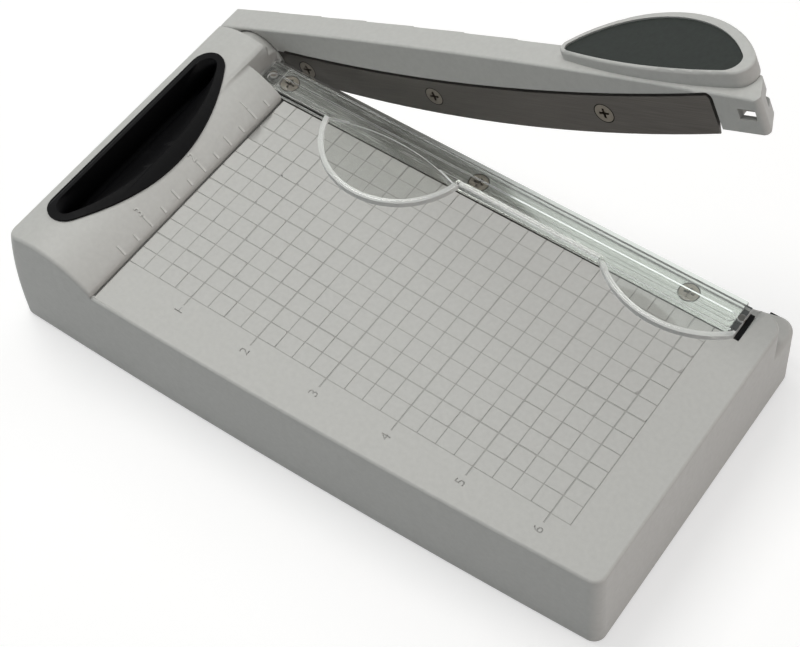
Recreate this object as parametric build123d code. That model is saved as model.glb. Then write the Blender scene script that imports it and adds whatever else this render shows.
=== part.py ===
from build123d import *
import math
import os

os.makedirs("parts", exist_ok=True)

# Lever paper trimmer, in millimetres, +Z up. While it is being built, X = 0 is the foot of the
# paper fence, Y = 0 is the cutting plane and +Y points away from the user; the finished pieces
# are then moved together so that the origin is under the middle of the whole trimmer.

# Shared sizes
overrun = 5.0  # how far a cutting tool runs past the face it opens
wall = 2.5  # moulded wall of the base
seat_gap = 0.05  # between faces that are seated on each other or turn on each other
body_gap = 0.3  # between pieces that move past each other

# Base shell
deck_length = 174.9  # fence to right end, on the deck
shell_height = 37.4  # lower rim to deck
foot_stand = 1.0  # how far the feet hold the rim off the table
end_draft = 1.2  # lean of the right end
head_top_length = 32.0  # fence to the top of the left end
head_foot_length = 39.8  # fence to the foot of the left end
left_end_bulge = 1.6  # crown of the raked left end
crown_height = 10.4  # top of the arched head over the deck
crown_back = 20.0  # fence to the top of the arch
arch_radius = 28.0  # arch of the head, seen from the front
front_left_depth = 106.2  # cutting plane to the front edge, at the left end
front_middle_depth = 104.9  # the same, halfway
front_right_depth = 99.6  # the same, at the right end
front_corner_radius = 4.0
far_right_corner_radius = 6.0
deck_edge_radius = 1.0
head_edge_radius = 1.4

# Guard pocket along the cutting edge
pocket_depth = 2.0  # also the thickness of the fixed blade that lies flush in it
pocket_width = 13.4  # cutting plane to the pocket's front wall
pocket_head_run = 12.5  # how far the pocket runs into the head, left of the fence
pocket_end_inset = 8.3  # right end of the deck to the pocket's right end
lever_slot_depth = 3.5  # cutting plane to the head's far wall, beside the lever

# Landing behind the right end of the base, under the arm's tip
landing_length = 13.7  # right end of the deck to the landing's left side
landing_left_depth = 8.0  # cutting plane to its far side, at the left
landing_right_depth = 12.8  # the same, at the right end
landing_corner_radius = 5.0
landing_edge_radius = 2.0

# Lever, in its own frame: pivot at the origin, X along the arm, Z up from it
pivot_back = 20.0  # fence to pivot
pivot_drop = 4.0  # deck to pivot
rest_angle = 23.5  # arm over the deck as it stands open
closed_angle = -2.0  # arm over the deck when it is pushed right down
arm_width = 9.65
arm_tail_length = 13.4  # pivot to the arm's left end, at its top
arm_tail_height = 11.3  # arm's top over the pivot, at the tail
arm_crown_height = 12.7  # the same, at its highest
arm_crown_share = 0.36  # place of that crown between pivot and tip
arm_tip_height = 9.6  # the same, at the tip
arm_tip_inset = 0.7  # right end of the deck to the tip's top and foot, as the arm lies level
arm_tip_bulge = 0.8  # rounding of the tip beyond that
arm_foot_drop = 2.0  # tip's foot below the pivot line
arm_hub_radius = 13.2
hub_gap = 0.5  # round the base's boss, inside the hub
arm_edge_radius = 0.8
tip_rake = 4.6  # how far the tip falls back from its near side to its far side
tip_near_radius = 1.5  # corners of the tip, seen from above
tip_far_radius = 2.5
window_length = 5.3  # lock window through the tip
window_height = 3.6
window_inset = 4.5  # tip to the window's middle
window_rise = 4.2
tip_wall = 1.8  # walls of the hollow behind the window
tip_hollow_run = 4.0  # how far the hollow runs left of the window
tip_hollow_rise = 1.0  # how far it runs over the window

# Moving blade
blade_thickness = 1.2
blade_edge_share = 0.438  # lowest place of the cutting edge, between pivot and tip
blade_edge_drop = 12.7  # how far that lies below the pivot line
blade_edge_end_drop = 3.4  # the same, at the blade's right end
blade_back_share = 0.386  # lowest place of the blade's back edge
blade_back_rise = 0.1  # how far that lies over the pivot line
blade_back_end_rise = 9.4  # the same, at the blade's right end
blade_start = 14.0  # pivot to the blade's left end
blade_end_inset = 14.6  # arm's tip to the blade's right end
blade_corner_radius = 1.2
blade_surround = 0.8  # open line between the blade and its recess in the arm
blade_bevel_height = 3.0
blade_bevel_depth = 0.9
blade_flange_inset = 4.0  # cutting edge to the arm's lower edge behind the blade
blade_screw_shares = (0.044, 0.374, 0.772)  # place of each screw along the blade
blade_screw_rise_share = 0.53  # their place between the cutting edge and the back edge

# Screws with a countersunk cross head, for both blades
blade_screw_head_radius = 3.1
blade_screw_radius = 1.75
blade_screw_length = 8.0
cross_length = 3.4
cross_width = 0.8
cross_depth = 1.1
# cross recess of the pan-head screws, as shares of their head's radius and height
pan_cross_length_share = 1.1
pan_cross_width_share = 0.28
pan_cross_depth_share = 0.55

# Handle dish at the end of the arm and its soft grip
handle_inset = 33.9  # arm's tip to the dish's middle
handle_far_radius = 36.6  # curve of its far side
handle_near_radius = 167.0  # curve of its near side
handle_left_radius = 3.0  # rounding of its left end
handle_right_radius = 5.0  # rounding of its right end
handle_near_inset = 1.0  # arm's near face to the dish's near edge
handle_width = 23.8
handle_top_rise = 15.0  # rim over the pivot line
handle_floor_rise = 12.5  # grip's seat over the pivot line
handle_under_rise = 8.6  # dish's underside over the pivot line
handle_far_rim = 2.5  # width of the rim round the grip
handle_near_rim = 0.9
handle_grip_shift = 0.8  # grip's middle, left of the dish's
handle_rim_radius = 0.8
handle_under_radius = 2.0
grip_below_rim = 0.5

# Pivot
bolt_radius = 2.5
bolt_head_radius = 4.6
bolt_head_height = 2.0
bolt_socket_flats = 3.0
bolt_socket_depth = 1.2
bolt_end_beyond_nut = 1.2
pivot_running_gap = 0.05
bush_wall = 1.0
counterbore_radius = 5.6
counterbore_depth = 3.0
head_washer_radius = 5.0
head_washer_thickness = 0.6
pivot_boss_radius = 10.3
pivot_boss_reach = 2.0  # how far the boss stands past the cutting plane, into the arm
thrust_washer_radius = 8.0
thrust_washer_thickness = 0.5
backing_plate_length = 9.4
backing_plate_height = 20.0
backing_plate_thickness = 1.5
nut_washer_radius = 5.0
nut_washer_thickness = 0.8
spring_washer_radius = 4.8
spring_washer_thickness = 0.5
spring_washer_cone = 0.6
nut_flats = 8.0
nut_height = 4.7
nut_chamfer = 0.5

# Fixed blade
fixed_blade_end_inset = 4.2  # pocket's right end to the blade's
fixed_blade_play = 0.5  # gap to the pocket's front and left walls
fixed_screw_first = -1.4  # fence to the first of its screws
fixed_screw_last_inset = 15.8  # its right end to the last of them
fixed_screw_count = 3
fixed_screw_inset = 7.0  # cutting edge to the screws
fixed_screw_length = 12.0
screw_boss_wall = 2.2

# Clear paper guard
guard_paper_gap = 0.5  # deck to the guard's underside
guard_thickness = 2.0
guard_dish_thickness = 1.0
guard_edge_inset = 2.8  # cutting edge to the guard's far edge
guard_width = 9.6
guard_end_gap = 1.6  # guard's ends to the pocket's ends
guard_foot_length = 6.0
guard_rim_width = 1.7
guard_channel_width = 3.5
guard_channel_depth = 0.7
guard_channel_inset = 6.9  # cutting edge to the channel's far side
guard_channel_start = -8.6  # fence to the channel's round left end
big_lobe_middle = 43.0  # fence to the middle of the larger finger lobe
big_lobe_radius = 26.6
big_lobe_centre_inset = 5.9  # cutting edge to the centre of its curve
big_lobe_dish_radius = 69.0  # curve of the dish's far edge
big_lobe_dish_inset = 8.2  # cutting edge to that edge, at its middle
small_lobe_end_inset = 23.7  # pocket's right end to the middle of the smaller lobe
small_lobe_radius = 33.2
small_lobe_centre_inset = -10.7
guard_screw_radius = 1.2
guard_screw_head_radius = 2.2
guard_screw_head_height = 1.6
guard_screw_bite = 1.0
guard_screw_inset = 7.0  # cutting edge to the guard's screws

# Keeper block under the guard's right end
keeper_length = 3.6
keeper_far_inset = 3.6  # cutting edge to the keeper's far face
keeper_gap = 0.2

# Carry grip in the head
grip_back = 28.0  # fence to the grip's straight side
grip_chord = 100.0  # straight side, before its corners are rounded
grip_bow = 21.5  # straight side to the top of the curved side
grip_middle_depth = 55.4  # cutting plane to the grip's middle
grip_corner_radius = 6.0
grip_proud = 0.8  # rim over the head's skin
grip_rim_width = 2.4
scoop_depth = 10.2  # top of the head to the scoop's crease
scoop_crease_length = 75.0
scoop_crease_width = 1.6
cup_wall = 1.3
grip_fit_gap = 0.1  # cup to its opening in the head

# Bottom plate, its screws and the feet
plate_thickness = 2.5
plate_gap = 0.15
plate_boss_radius = 4.2
plate_screw_radius = 1.5
plate_screw_head_radius = 2.9
plate_screw_head_height = 1.8
plate_screw_length = 12.0
plate_screw_left = 15.0  # fence to the left column of screws
plate_screw_right_inset = 34.0  # right end to the right column
plate_screw_far_inset = 25.0  # cutting plane to the far row
plate_screw_front_inset = 12.0  # front edge to the front row
foot_radius = 6.0
foot_recess = 1.2
foot_inset = 16.0  # plate's edges to the middle of each foot
foot_edge_radius = 0.5

# Lock slider in the far wall: a tongue for the arm's window, a pull knob below it, and a stop plate behind
lock_travel = 3.4  # from flush with the far wall to right out, in the window
lock_window_gap = 0.4  # tongue to the edges of the window
lock_hole_gap = 0.1  # tongue and knob to their holes in the far wall
lock_lead = 0.5  # chamfer round the tongue's end
lock_flange_lip = 1.4
lock_flange_left_lip = 0.9
lock_flange_right_lip = 0.2
lock_flange_thickness = 1.5
knob_drop = 19.0  # tongue's middle to knob's middle, downwards
knob_shift = 3.5  # the same, to the left
knob_height = 4.0
knob_reach = 3.0  # how far the knob stands off the landing
knob_groove_start = 1.0  # landing to the finger groove
knob_groove_width = 1.0
knob_groove_depth = 0.6
stop_length = 20.0
stop_height = 5.0
stop_thickness = 0.8
stop_beyond = 2.0  # how far it reaches past the tongue's middle
stop_drop = 6.0  # tongue's middle to the plate's
stop_post_length = 6.0
stop_screw_radius = 0.9
stop_screw_head_radius = 1.8
stop_screw_head_height = 1.2
stop_screw_length = 4.0



def arc_radius(run, rise):
    """Radius of an arc that starts level and rises that far over a run."""
    return (run**2 + rise**2) / (2 * rise)


# Places that follow from those sizes
rim_z = foot_stand
deck_z = foot_stand + shell_height
far_face = -body_gap  # Y of the base's far wall
pocket_floor_z = deck_z - pocket_depth
pocket_right_end = deck_length - pocket_end_inset
plan_left = -head_foot_length - left_end_bulge - overrun  # past the ends of the base
plan_right = deck_length + end_draft + overrun
pivot_x = -pivot_back
pivot_z = deck_z - pivot_drop
arm_near = body_gap + seat_gap  # Y of the arm's near face, just behind the cutting plane
arm_far = arm_near + arm_width
blade_near = seat_gap
blade_far = blade_near + blade_thickness
arch_centre_z = deck_z + crown_height - arch_radius
scoop_floor_z = deck_z + crown_height - scoop_depth
arm_reach = deck_length + pivot_back - arm_tip_inset  # pivot to the tip
blade_end = arm_reach - blade_end_inset
arm_crown_reach = arm_crown_share * arm_reach
blade_edge_middle = blade_edge_share * arm_reach
blade_back_middle = blade_back_share * arm_reach
blade_edge_radius = arc_radius(blade_end - blade_edge_middle, blade_edge_drop - blade_edge_end_drop)
blade_back_radius = arc_radius(blade_end - blade_back_middle, blade_back_end_rise - blade_back_rise)
handle_middle = arm_reach - handle_inset
window_reach = arm_reach - window_inset
window_turn = math.radians(closed_angle)
lock_x = pivot_x + window_reach * math.cos(window_turn) - window_rise * math.sin(window_turn)
lock_z = pivot_z + window_reach * math.sin(window_turn) + window_rise * math.cos(window_turn)
tip_foot_z = pivot_z + arm_reach * math.sin(window_turn) - arm_foot_drop * math.cos(window_turn)
landing_top_z = tip_foot_z - body_gap
landing_left = deck_length - landing_length
plate_top_z = rim_z + plate_thickness
fixed_blade_end = pocket_right_end - fixed_blade_end_inset
small_lobe_middle = pocket_right_end - small_lobe_end_inset
guard_under_z = deck_z + guard_paper_gap
guard_left = guard_end_gap - pocket_head_run
guard_right = pocket_right_end - guard_end_gap
keeper_left = pocket_right_end - keeper_gap - keeper_length
tongue_half_length = window_length / 2 - lock_window_gap
tongue_half_height = window_height / 2 - lock_window_gap
knob_x = lock_x - knob_shift
knob_z = lock_z - knob_drop
stop_z = lock_z - stop_drop
flange_far = far_face - wall - seat_gap - lock_travel  # Y of the slider's flange, pushed right in
flange_near = flange_far - lock_flange_thickness
stop_far = flange_near - seat_gap
stop_left = lock_x + stop_beyond - stop_length
stop_screw_x = stop_left + stop_post_length / 2
# Y of the pivot's stack, from the nut inside the base to the bolt's head in the arm
wall_inside = -lever_slot_depth - wall
plate_near = wall_inside - backing_plate_thickness
nut_washer_near = plate_near - nut_washer_thickness
nut_far = nut_washer_near - spring_washer_cone - spring_washer_thickness
nut_near = nut_far - nut_height
thrust_near = pivot_boss_reach + seat_gap
thrust_far = thrust_near + thrust_washer_thickness
hub_floor = thrust_far + seat_gap
bolt_seat = arm_far - counterbore_depth
head_washer_near = bolt_seat + seat_gap
head_washer_far = head_washer_near + head_washer_thickness
bolt_head_near = head_washer_far + seat_gap
bush_radius = bolt_radius + pivot_running_gap + bush_wall


def arch_z(x):
    """Height of the head's arched skin at a place along X."""
    return arch_centre_z + math.sqrt(arch_radius**2 - (x + crown_back) ** 2)


def slab(face, y_start, y_end):
    """Side outline, drawn in X and Z, made solid from one Y to another."""
    return extrude(Plane.XZ.offset(-y_start) * face, amount=y_start - y_end)


def block(x_start, x_end, y_start, y_end, z_start, z_end):
    """Box between three pairs of planes."""
    size = (x_end - x_start, y_end - y_start, z_end - z_start)
    middle = ((x_start + x_end) / 2, (y_start + y_end) / 2, (z_start + z_end) / 2)
    return Pos(*middle) * Box(*size)


def upright(radius, x, y, z_start, z_end):
    """Vertical cylinder."""
    return Pos(x, y, (z_start + z_end) / 2) * Cylinder(radius, z_end - z_start)


def across(radius, x, z, y_start, y_end):
    """Cylinder along Y."""
    return Pos(x, (y_start + y_end) / 2, z) * Rot(90, 0, 0) * Cylinder(radius, y_end - y_start)


def open_lever(piece):
    """Puts a piece of the lever, drawn level with the pivot at the origin, where it stands open."""
    return Pos(pivot_x, 0, pivot_z) * Rot(0, -rest_angle, 0) * piece


def cross_recess():
    """Cross-shaped driver recess, cut down from Z = 0."""
    bar = Pos(0, 0, -cross_depth / 2) * Box(cross_length, cross_width, cross_depth)
    return bar + Rot(0, 0, 90) * bar


def countersunk_screw(length):
    """Countersunk screw with its flat head at Z = 0 and its point downwards."""
    cone_height = blade_screw_head_radius - blade_screw_radius
    cone = Pos(0, 0, -cone_height / 2) * Cone(blade_screw_radius, blade_screw_head_radius, cone_height)
    shank = upright(blade_screw_radius, 0, 0, -length, -cone_height)
    return cone + shank - cross_recess()


def countersunk_hole(length):
    """Hole for that screw, opened past its head."""
    head = blade_screw_head_radius + seat_gap
    shank = blade_screw_radius + seat_gap
    cone_height = head - shank
    cone = Pos(0, 0, -cone_height / 2) * Cone(shank, head, cone_height)
    return cone + upright(head, 0, 0, 0, overrun) + upright(shank, 0, 0, -length, -cone_height)


def pan_screw(radius, head_radius, head_height, length):
    """Pan-head screw seated on Z = 0 from below, pointing up."""
    head = upright(head_radius, 0, 0, -head_height, 0)
    head = fillet(head.edges().sort_by(Axis.Z)[:1], head_height / 3)
    slot = Pos(0, 0, -head_height) * Rot(180, 0, 0) * cross_recess_for(head_radius, head_height)
    return head + upright(radius, 0, 0, 0, length) - slot


def cross_recess_for(head_radius, head_height):
    """Cross-shaped driver recess in proportion to a pan head, cut down from Z = 0."""
    depth = head_height * pan_cross_depth_share
    length = head_radius * pan_cross_length_share
    width = head_radius * pan_cross_width_share
    bar = Pos(0, 0, -depth / 2) * Box(length, width, depth)
    return bar + Rot(0, 0, 90) * bar


def ring(outer, inner, y_start, y_end):
    """Washer or bush round the pivot's axis, in the lever's frame."""
    return across(outer, 0, 0, y_start, y_end) - across(inner, 0, 0, y_start - overrun, y_end + overrun)


# Base shell
def base_side():
    """Side outline of the base: raked left end, arched head, level deck, leaning right end."""
    fence_top = (0, arch_z(0))
    crown = (-crown_back, deck_z + crown_height)
    shoulder = (-head_top_length, arch_z(-head_top_length))
    left_foot = (-head_foot_length, rim_z)
    left_middle = (
        (shoulder[0] + left_foot[0]) / 2 - left_end_bulge,
        (shoulder[1] + left_foot[1]) / 2,
    )
    right_top = (deck_length, deck_z)
    right_foot = (deck_length + end_draft, rim_z)
    return make_face(
        [
            Line((0, deck_z), fence_top),
            ThreePointArc(fence_top, crown, shoulder),
            ThreePointArc(shoulder, left_middle, left_foot),
            Line(left_foot, right_foot),
            Line(right_foot, right_top),
            Line(right_top, (0, deck_z)),
        ]
    )


def base_plan():
    """Plan outline of the base, with its gently curved front edge and open-ended left and right."""
    far_left, far_right = (plan_left, far_face), (plan_right, far_face)
    front_left, front_right = (plan_left, -front_left_depth), (plan_right, -front_right_depth)
    front_middle = ((plan_left + plan_right) / 2, -front_middle_depth)
    return make_face(
        [
            Line(far_left, far_right),
            Line(far_right, front_right),
            ThreePointArc(front_right, front_middle, front_left),
            Line(front_left, far_left),
        ]
    )


def is_corner(edge):
    """True for the four edges that stand the full height of the base."""
    return edge.bounding_box().size.Z > shell_height / 2


def base_block():
    """Outside of the base with its rounded corners and edges, before anything is cut."""
    tall = deck_z + crown_height + overrun
    solid = slab(base_side(), 0, -front_left_depth - overrun) & extrude(base_plan(), amount=tall)
    corners = solid.edges().filter_by(is_corner)
    solid = fillet(corners.sort_by(Axis.Y)[:2], front_corner_radius)
    far = solid.edges().filter_by(is_corner).sort_by(Axis.Y)[-2:].sort_by(Axis.X)
    return fillet(far[-1:], far_right_corner_radius)


def landing_block(inset, top):
    """Block behind the right end of the base, drawn smaller by an inset, up to a height."""
    side = offset(base_side(), amount=-inset) if inset else base_side()
    near = far_face if inset else far_face - far_right_corner_radius
    left = landing_left + inset
    plan = make_face(
        Polyline(
            (left, near),
            (left, landing_left_depth - inset),
            (plan_right, landing_right_depth - inset),
            (plan_right, near),
            close=True,
        )
    )
    return slab(side, landing_right_depth, near) & extrude(plan, amount=top)


def landing():
    """Landing for the arm's tip, with its round corner and edges."""
    solid = landing_block(0, landing_top_z)
    corner = solid.edges().filter_by(is_corner).sort_by(Axis.Y)[-2:].sort_by(Axis.X)[-1:]
    solid = fillet(corner, landing_corner_radius)
    rim = solid.faces().sort_by(Axis.Z)[-1].edges().filter_by(is_landing_rim)
    return fillet(rim, landing_edge_radius)


def landing_hollow():
    """Space inside the landing, open below."""
    space = landing_block(wall, landing_top_z - wall)
    return space + extrude(space.faces().sort_by(Axis.Z)[:1], amount=wall + overrun)


def is_landing_rim(edge):
    """True for the landing's upper edges on its far side and its right end."""
    return edge.center().X > landing_left + landing_edge_radius and edge.center().Y > far_face - wall


def front_depth(x):
    """Depth of the front edge at a place along X."""
    share = (x - plan_left) / (plan_right - plan_left)
    slope = 4 * front_middle_depth - 3 * front_left_depth - front_right_depth
    bend = 2 * front_left_depth - 4 * front_middle_depth + 2 * front_right_depth
    return front_left_depth + slope * share + bend * share**2


def plate_screw_places():
    """Middles of the bottom plate's screws: three columns in two rows."""
    right = deck_length - plate_screw_right_inset
    columns = (plate_screw_left, (plate_screw_left + right) / 2, right)
    far_row = [(x, -plate_screw_far_inset) for x in columns]
    return far_row + [(x, plate_screw_front_inset - front_depth(x)) for x in columns]


def fixed_screw_places():
    """Middles of the fixed blade's screws."""
    pitch = (fixed_blade_end - fixed_screw_last_inset - fixed_screw_first) / (fixed_screw_count - 1)
    return [(fixed_screw_first + i * pitch, -fixed_screw_inset) for i in range(fixed_screw_count)]


def guard_screw_places():
    """Middles of the guard's two screws: in its left foot and in its keeper."""
    left = guard_left + guard_foot_length / 2
    right = (keeper_left + guard_right) / 2
    return [(left, -guard_screw_inset), (right, -guard_screw_inset)]


def pocket_space(y_far):
    """Pocket along the cutting edge, open upwards through the head's slope."""
    top = deck_z + crown_height + overrun
    return block(-pocket_head_run, pocket_right_end, -pocket_width, y_far, pocket_floor_z, top)


def base_hollow():
    """Space inside the base, open below and kept clear of the pocket and the lever's slot."""
    space = slab(offset(base_side(), amount=-wall), far_face - wall, -front_left_depth - overrun)
    space = space & extrude(offset(base_plan(), amount=-wall), amount=deck_z + crown_height)
    space = space + extrude(space.faces().sort_by(Axis.Z)[:1], amount=wall + overrun)
    top = deck_z + crown_height
    pocket_left = -pocket_head_run - wall
    pocket_right = pocket_right_end + wall
    pocket_front = -pocket_width - wall
    space = space - block(pocket_left, pocket_right, pocket_front, overrun, pocket_floor_z - wall, top)
    return space - block(plan_left, wall - pocket_head_run, wall_inside, overrun, -overrun, top)


def base_bosses():
    """Screw bosses, the pivot boss and the stop plate's post, inside the shell."""
    boss_top = deck_z - wall / 2
    solid = Part()
    for x, y in plate_screw_places():
        solid += upright(plate_boss_radius, x, y, plate_top_z, boss_top)
    floor = pocket_floor_z - wall / 2
    for x, y in fixed_screw_places():
        solid += upright(blade_screw_radius + screw_boss_wall, x, y, pocket_floor_z - fixed_screw_length, floor)
    boss = across(pivot_boss_radius, pivot_x, pivot_z, wall_inside + wall / 2, pivot_boss_reach)
    solid += boss - pocket_space(0)
    low, high = stop_z - stop_height / 2, stop_z + stop_height / 2
    return solid + block(stop_left, stop_left + stop_post_length, stop_far, far_face - wall / 2, low, high)


def base_holes():
    """Everything that is drilled or cut through the shell for another piece."""
    holes = Part()
    for x, y in plate_screw_places():
        end = plate_top_z + plate_screw_length
        holes += upright(plate_screw_radius + seat_gap, x, y, plate_top_z - overrun, end)
    for x, y in fixed_screw_places():
        bottom = deck_z - fixed_screw_length
        holes += upright(blade_screw_radius + seat_gap, x, y, bottom, pocket_floor_z + overrun)
    for x, y in guard_screw_places():
        bottom = pocket_floor_z - wall - overrun
        holes += upright(guard_screw_radius + seat_gap, x, y, bottom, pocket_floor_z + overrun)
    bolt_hole = bolt_radius + pivot_running_gap
    holes += across(bolt_hole, pivot_x, pivot_z, wall_inside - overrun, pivot_boss_reach + overrun)
    inside = far_face - wall - overrun
    holes += slider_section(lock_x, lock_z, tongue_half_height, lock_hole_gap, inside, overrun)
    holes += slider_section(knob_x, knob_z, knob_height / 2, lock_hole_gap, inside, landing_right_depth + overrun)
    stop_hole_end = stop_far - stop_thickness + stop_screw_length
    holes += across(stop_screw_radius + seat_gap, stop_screw_x, stop_z, stop_far - overrun, stop_hole_end)
    return holes + carry_grip_well()


def base_shell():
    """Moulded base: deck and head in one hollow shell, open below."""
    solid = base_block()
    top = deck_z + crown_height + overrun
    solid -= block(plan_left, -pocket_head_run, -lever_slot_depth, overrun, -overrun, top)
    solid -= pocket_space(overrun)
    solid = fillet(solid.edges().filter_by(is_deck_rim), deck_edge_radius)
    solid = fillet(solid.edges().filter_by(is_head_rim), head_edge_radius)
    solid = solid + landing() - base_hollow() - landing_hollow()
    return solid + base_bosses() - base_holes()


def is_deck_rim(edge):
    """True for the deck's outer edge at the front, the right end and the corners between."""
    middle = edge.center()
    box = edge.bounding_box()
    level = abs(box.min.Z - deck_z) < seat_gap and box.size.Z < seat_gap
    outside = middle.X > pocket_right_end + wall or middle.Y < -front_right_depth + front_corner_radius
    return level and outside


def is_head_rim(edge):
    """True for the arched head's edges at the left end, the front and the lever's slot."""
    box = edge.bounding_box()
    return box.min.Z > deck_z + seat_gap and edge.center().X < -pocket_head_run - seat_gap


# Carry grip
def grip_outline(inset):
    """D-shaped outline of the carry grip in plan, drawn smaller by an inset."""
    low = (-grip_back, -grip_middle_depth - grip_chord / 2)
    high = (-grip_back, -grip_middle_depth + grip_chord / 2)
    curve = ThreePointArc(low, (grip_bow - grip_back, -grip_middle_depth), high)
    face = make_face([Line(high, low), curve])
    outline = fillet(face.vertices(), grip_corner_radius)
    return offset(outline, amount=-inset) if inset else outline


def crease_outline(grow):
    """Slim slot at the bottom of the scoop, drawn larger by an amount."""
    slot = SlotOverall(scoop_crease_length + 2 * grow, scoop_crease_width + 2 * grow, rotation=90)
    return Pos(grip_rim_width - grip_back + scoop_crease_width / 2, -grip_middle_depth) * slot


def scoop(grow):
    """Finger scoop that narrows from the grip's rim to its crease, drawn larger by an amount."""
    top = deck_z + crown_height + grip_proud + seat_gap
    bottom = scoop_floor_z - grow
    rim = grip_outline(grip_rim_width - grow)
    return loft([Pos(0, 0, top) * rim, Pos(0, 0, bottom) * crease_outline(grow)], ruled=True)


def under_arch(rise):
    """Everything below the head's skin, or below a skin that far over it."""
    disc = Pos(-crown_back, arch_centre_z) * Circle(arch_radius + rise)
    return slab(disc, 0, -front_left_depth)


def carry_grip_well():
    """Opening in the head for the grip's cup."""
    outline = grip_outline(grip_rim_width - cup_wall - grip_fit_gap)
    return extrude(Pos(0, 0, scoop_floor_z - wall) * outline, amount=scoop_depth + overrun)


def carry_grip():
    """Black finger grip: a rim on the head's skin, with a scoop that hangs inside it."""
    top = deck_z + crown_height + grip_proud
    rim = extrude(Pos(0, 0, deck_z) * grip_outline(0), amount=top - deck_z)
    rim = rim & (under_arch(grip_proud) - under_arch(0))
    cup = scoop(cup_wall) & under_arch(grip_proud)
    return rim + cup - scoop(0)


# Fixed blade and guard
def fixed_blade():
    """Steel strip, flush with the deck, whose far edge is the cutting edge."""
    left = fixed_blade_play - pocket_head_run
    near = fixed_blade_play - pocket_width
    strip = block(left, fixed_blade_end, near, 0, pocket_floor_z, deck_z)
    for x, y in fixed_screw_places():
        strip -= Pos(x, y, deck_z) * countersunk_hole(pocket_depth + overrun)
    x, y = guard_screw_places()[0]
    return strip - upright(guard_screw_radius + seat_gap, x, y, pocket_floor_z - overrun, deck_z + overrun)


def fixed_blade_screws():
    """Countersunk screws of the fixed blade."""
    return [Pos(x, y, deck_z) * countersunk_screw(fixed_screw_length) for x, y in fixed_screw_places()]


def lobe(middle, centre_inset, radius, z_start, z_end):
    """Round finger lobe in front of the guard's bar."""
    disc = upright(radius, middle, -centre_inset, z_start, z_end)
    front = -guard_edge_inset - guard_width + guard_rim_width
    right = min(middle + radius, guard_right)
    return disc & block(middle - radius, right, -centre_inset - radius, front, z_start, z_end)


def paper_guard():
    """Clear bar over the fixed blade with two finger lobes."""
    top = guard_under_z + guard_thickness
    dish_top = guard_under_z + guard_dish_thickness
    near = -guard_edge_inset - guard_width
    solid = block(guard_left, guard_right, near, -guard_edge_inset, guard_under_z, top)
    lobes = (
        (big_lobe_middle, big_lobe_centre_inset, big_lobe_radius),
        (small_lobe_middle, small_lobe_centre_inset, small_lobe_radius),
    )
    for middle, centre_inset, radius in lobes:
        rim = lobe(middle, centre_inset, radius, guard_under_z, top)
        inside = lobe(middle, centre_inset, radius - guard_rim_width, dish_top, top + overrun)
        bar = block(guard_left, guard_right, near, -guard_edge_inset, guard_under_z, top + overrun)
        solid += rim - (inside - bar)
    inner = upright(big_lobe_radius - guard_rim_width, big_lobe_middle, -big_lobe_centre_inset, dish_top, top + overrun)
    lens_y = -big_lobe_dish_inset - big_lobe_dish_radius
    solid -= inner & upright(big_lobe_dish_radius, big_lobe_middle, lens_y, dish_top, top + overrun)
    channel_length = fixed_blade_end - guard_channel_start
    channel = SlotOverall(channel_length, guard_channel_width)
    channel_x = guard_channel_start + channel_length / 2
    channel_y = -guard_channel_inset - guard_channel_width / 2
    solid -= extrude(Pos(channel_x, channel_y, top - guard_channel_depth) * channel, amount=overrun)
    solid += block(guard_left, guard_left + guard_foot_length, near, -guard_edge_inset, deck_z, guard_under_z)
    for x, y in guard_screw_places():
        solid -= upright(guard_screw_radius + seat_gap, x, y, deck_z - overrun, guard_under_z + guard_screw_bite)
    return solid


def guard_keeper():
    """Black block in the pocket's right end that carries the guard."""
    right = pocket_right_end - keeper_gap
    near = keeper_gap - pocket_width
    solid = block(keeper_left, right, near, -keeper_far_inset, pocket_floor_z, guard_under_z)
    x, y = guard_screw_places()[1]
    return solid - upright(guard_screw_radius + seat_gap, x, y, pocket_floor_z - overrun, guard_under_z + overrun)


def guard_screws():
    """Screws that hold the guard down from inside the base."""
    length = wall + pocket_depth + guard_paper_gap + guard_screw_bite
    screw = pan_screw(guard_screw_radius, guard_screw_head_radius, guard_screw_head_height, length)
    return [Pos(x, y, pocket_floor_z - wall) * screw for x, y in guard_screw_places()]


# Lever
def blade_edge_z(x, inset=0):
    """Height of the cutting edge in the lever's frame, or of a curve inside it."""
    centre = blade_edge_radius - blade_edge_drop
    return centre - math.sqrt((blade_edge_radius - inset) ** 2 - (x - blade_edge_middle) ** 2)


def blade_back_z(x):
    """Height of the blade's back edge in the lever's frame."""
    return blade_back_rise + blade_back_radius - math.sqrt(blade_back_radius**2 - (x - blade_back_middle) ** 2)


def blade_side():
    """Side outline of the moving blade: a bowed strip with a square right end."""
    low_left, low_right = blade_edge_z(blade_start), blade_edge_z(blade_end)
    high_left, high_right = blade_back_z(blade_start), blade_back_z(blade_end)
    lowest = (blade_edge_middle, blade_edge_z(blade_edge_middle))
    back = (blade_back_middle, blade_back_z(blade_back_middle))
    face = make_face(
        [
            ThreePointArc((blade_start, low_left), lowest, (blade_end, low_right)),
            Line((blade_end, low_right), (blade_end, high_right)),
            ThreePointArc((blade_end, high_right), back, (blade_start, high_left)),
            Line((blade_start, high_left), (blade_start, low_left)),
        ]
    )
    upper_right = face.vertices().sort_by(Axis.X)[-2:].sort_by(Axis.Y)[-1:]
    return fillet(upper_right, blade_corner_radius)


def at_blade_screws(piece):
    """Copies of a screw or its hole at every place along the blade, pointing into the arm."""
    copies = []
    for share in blade_screw_shares:
        reach = blade_start + share * (blade_end - blade_start)
        low, high = blade_edge_z(reach), blade_back_z(reach)
        rise = low + blade_screw_rise_share * (high - low)
        copies.append(Pos(reach, blade_near, rise) * Rot(90, 0, 0) * piece)
    return copies


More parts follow.
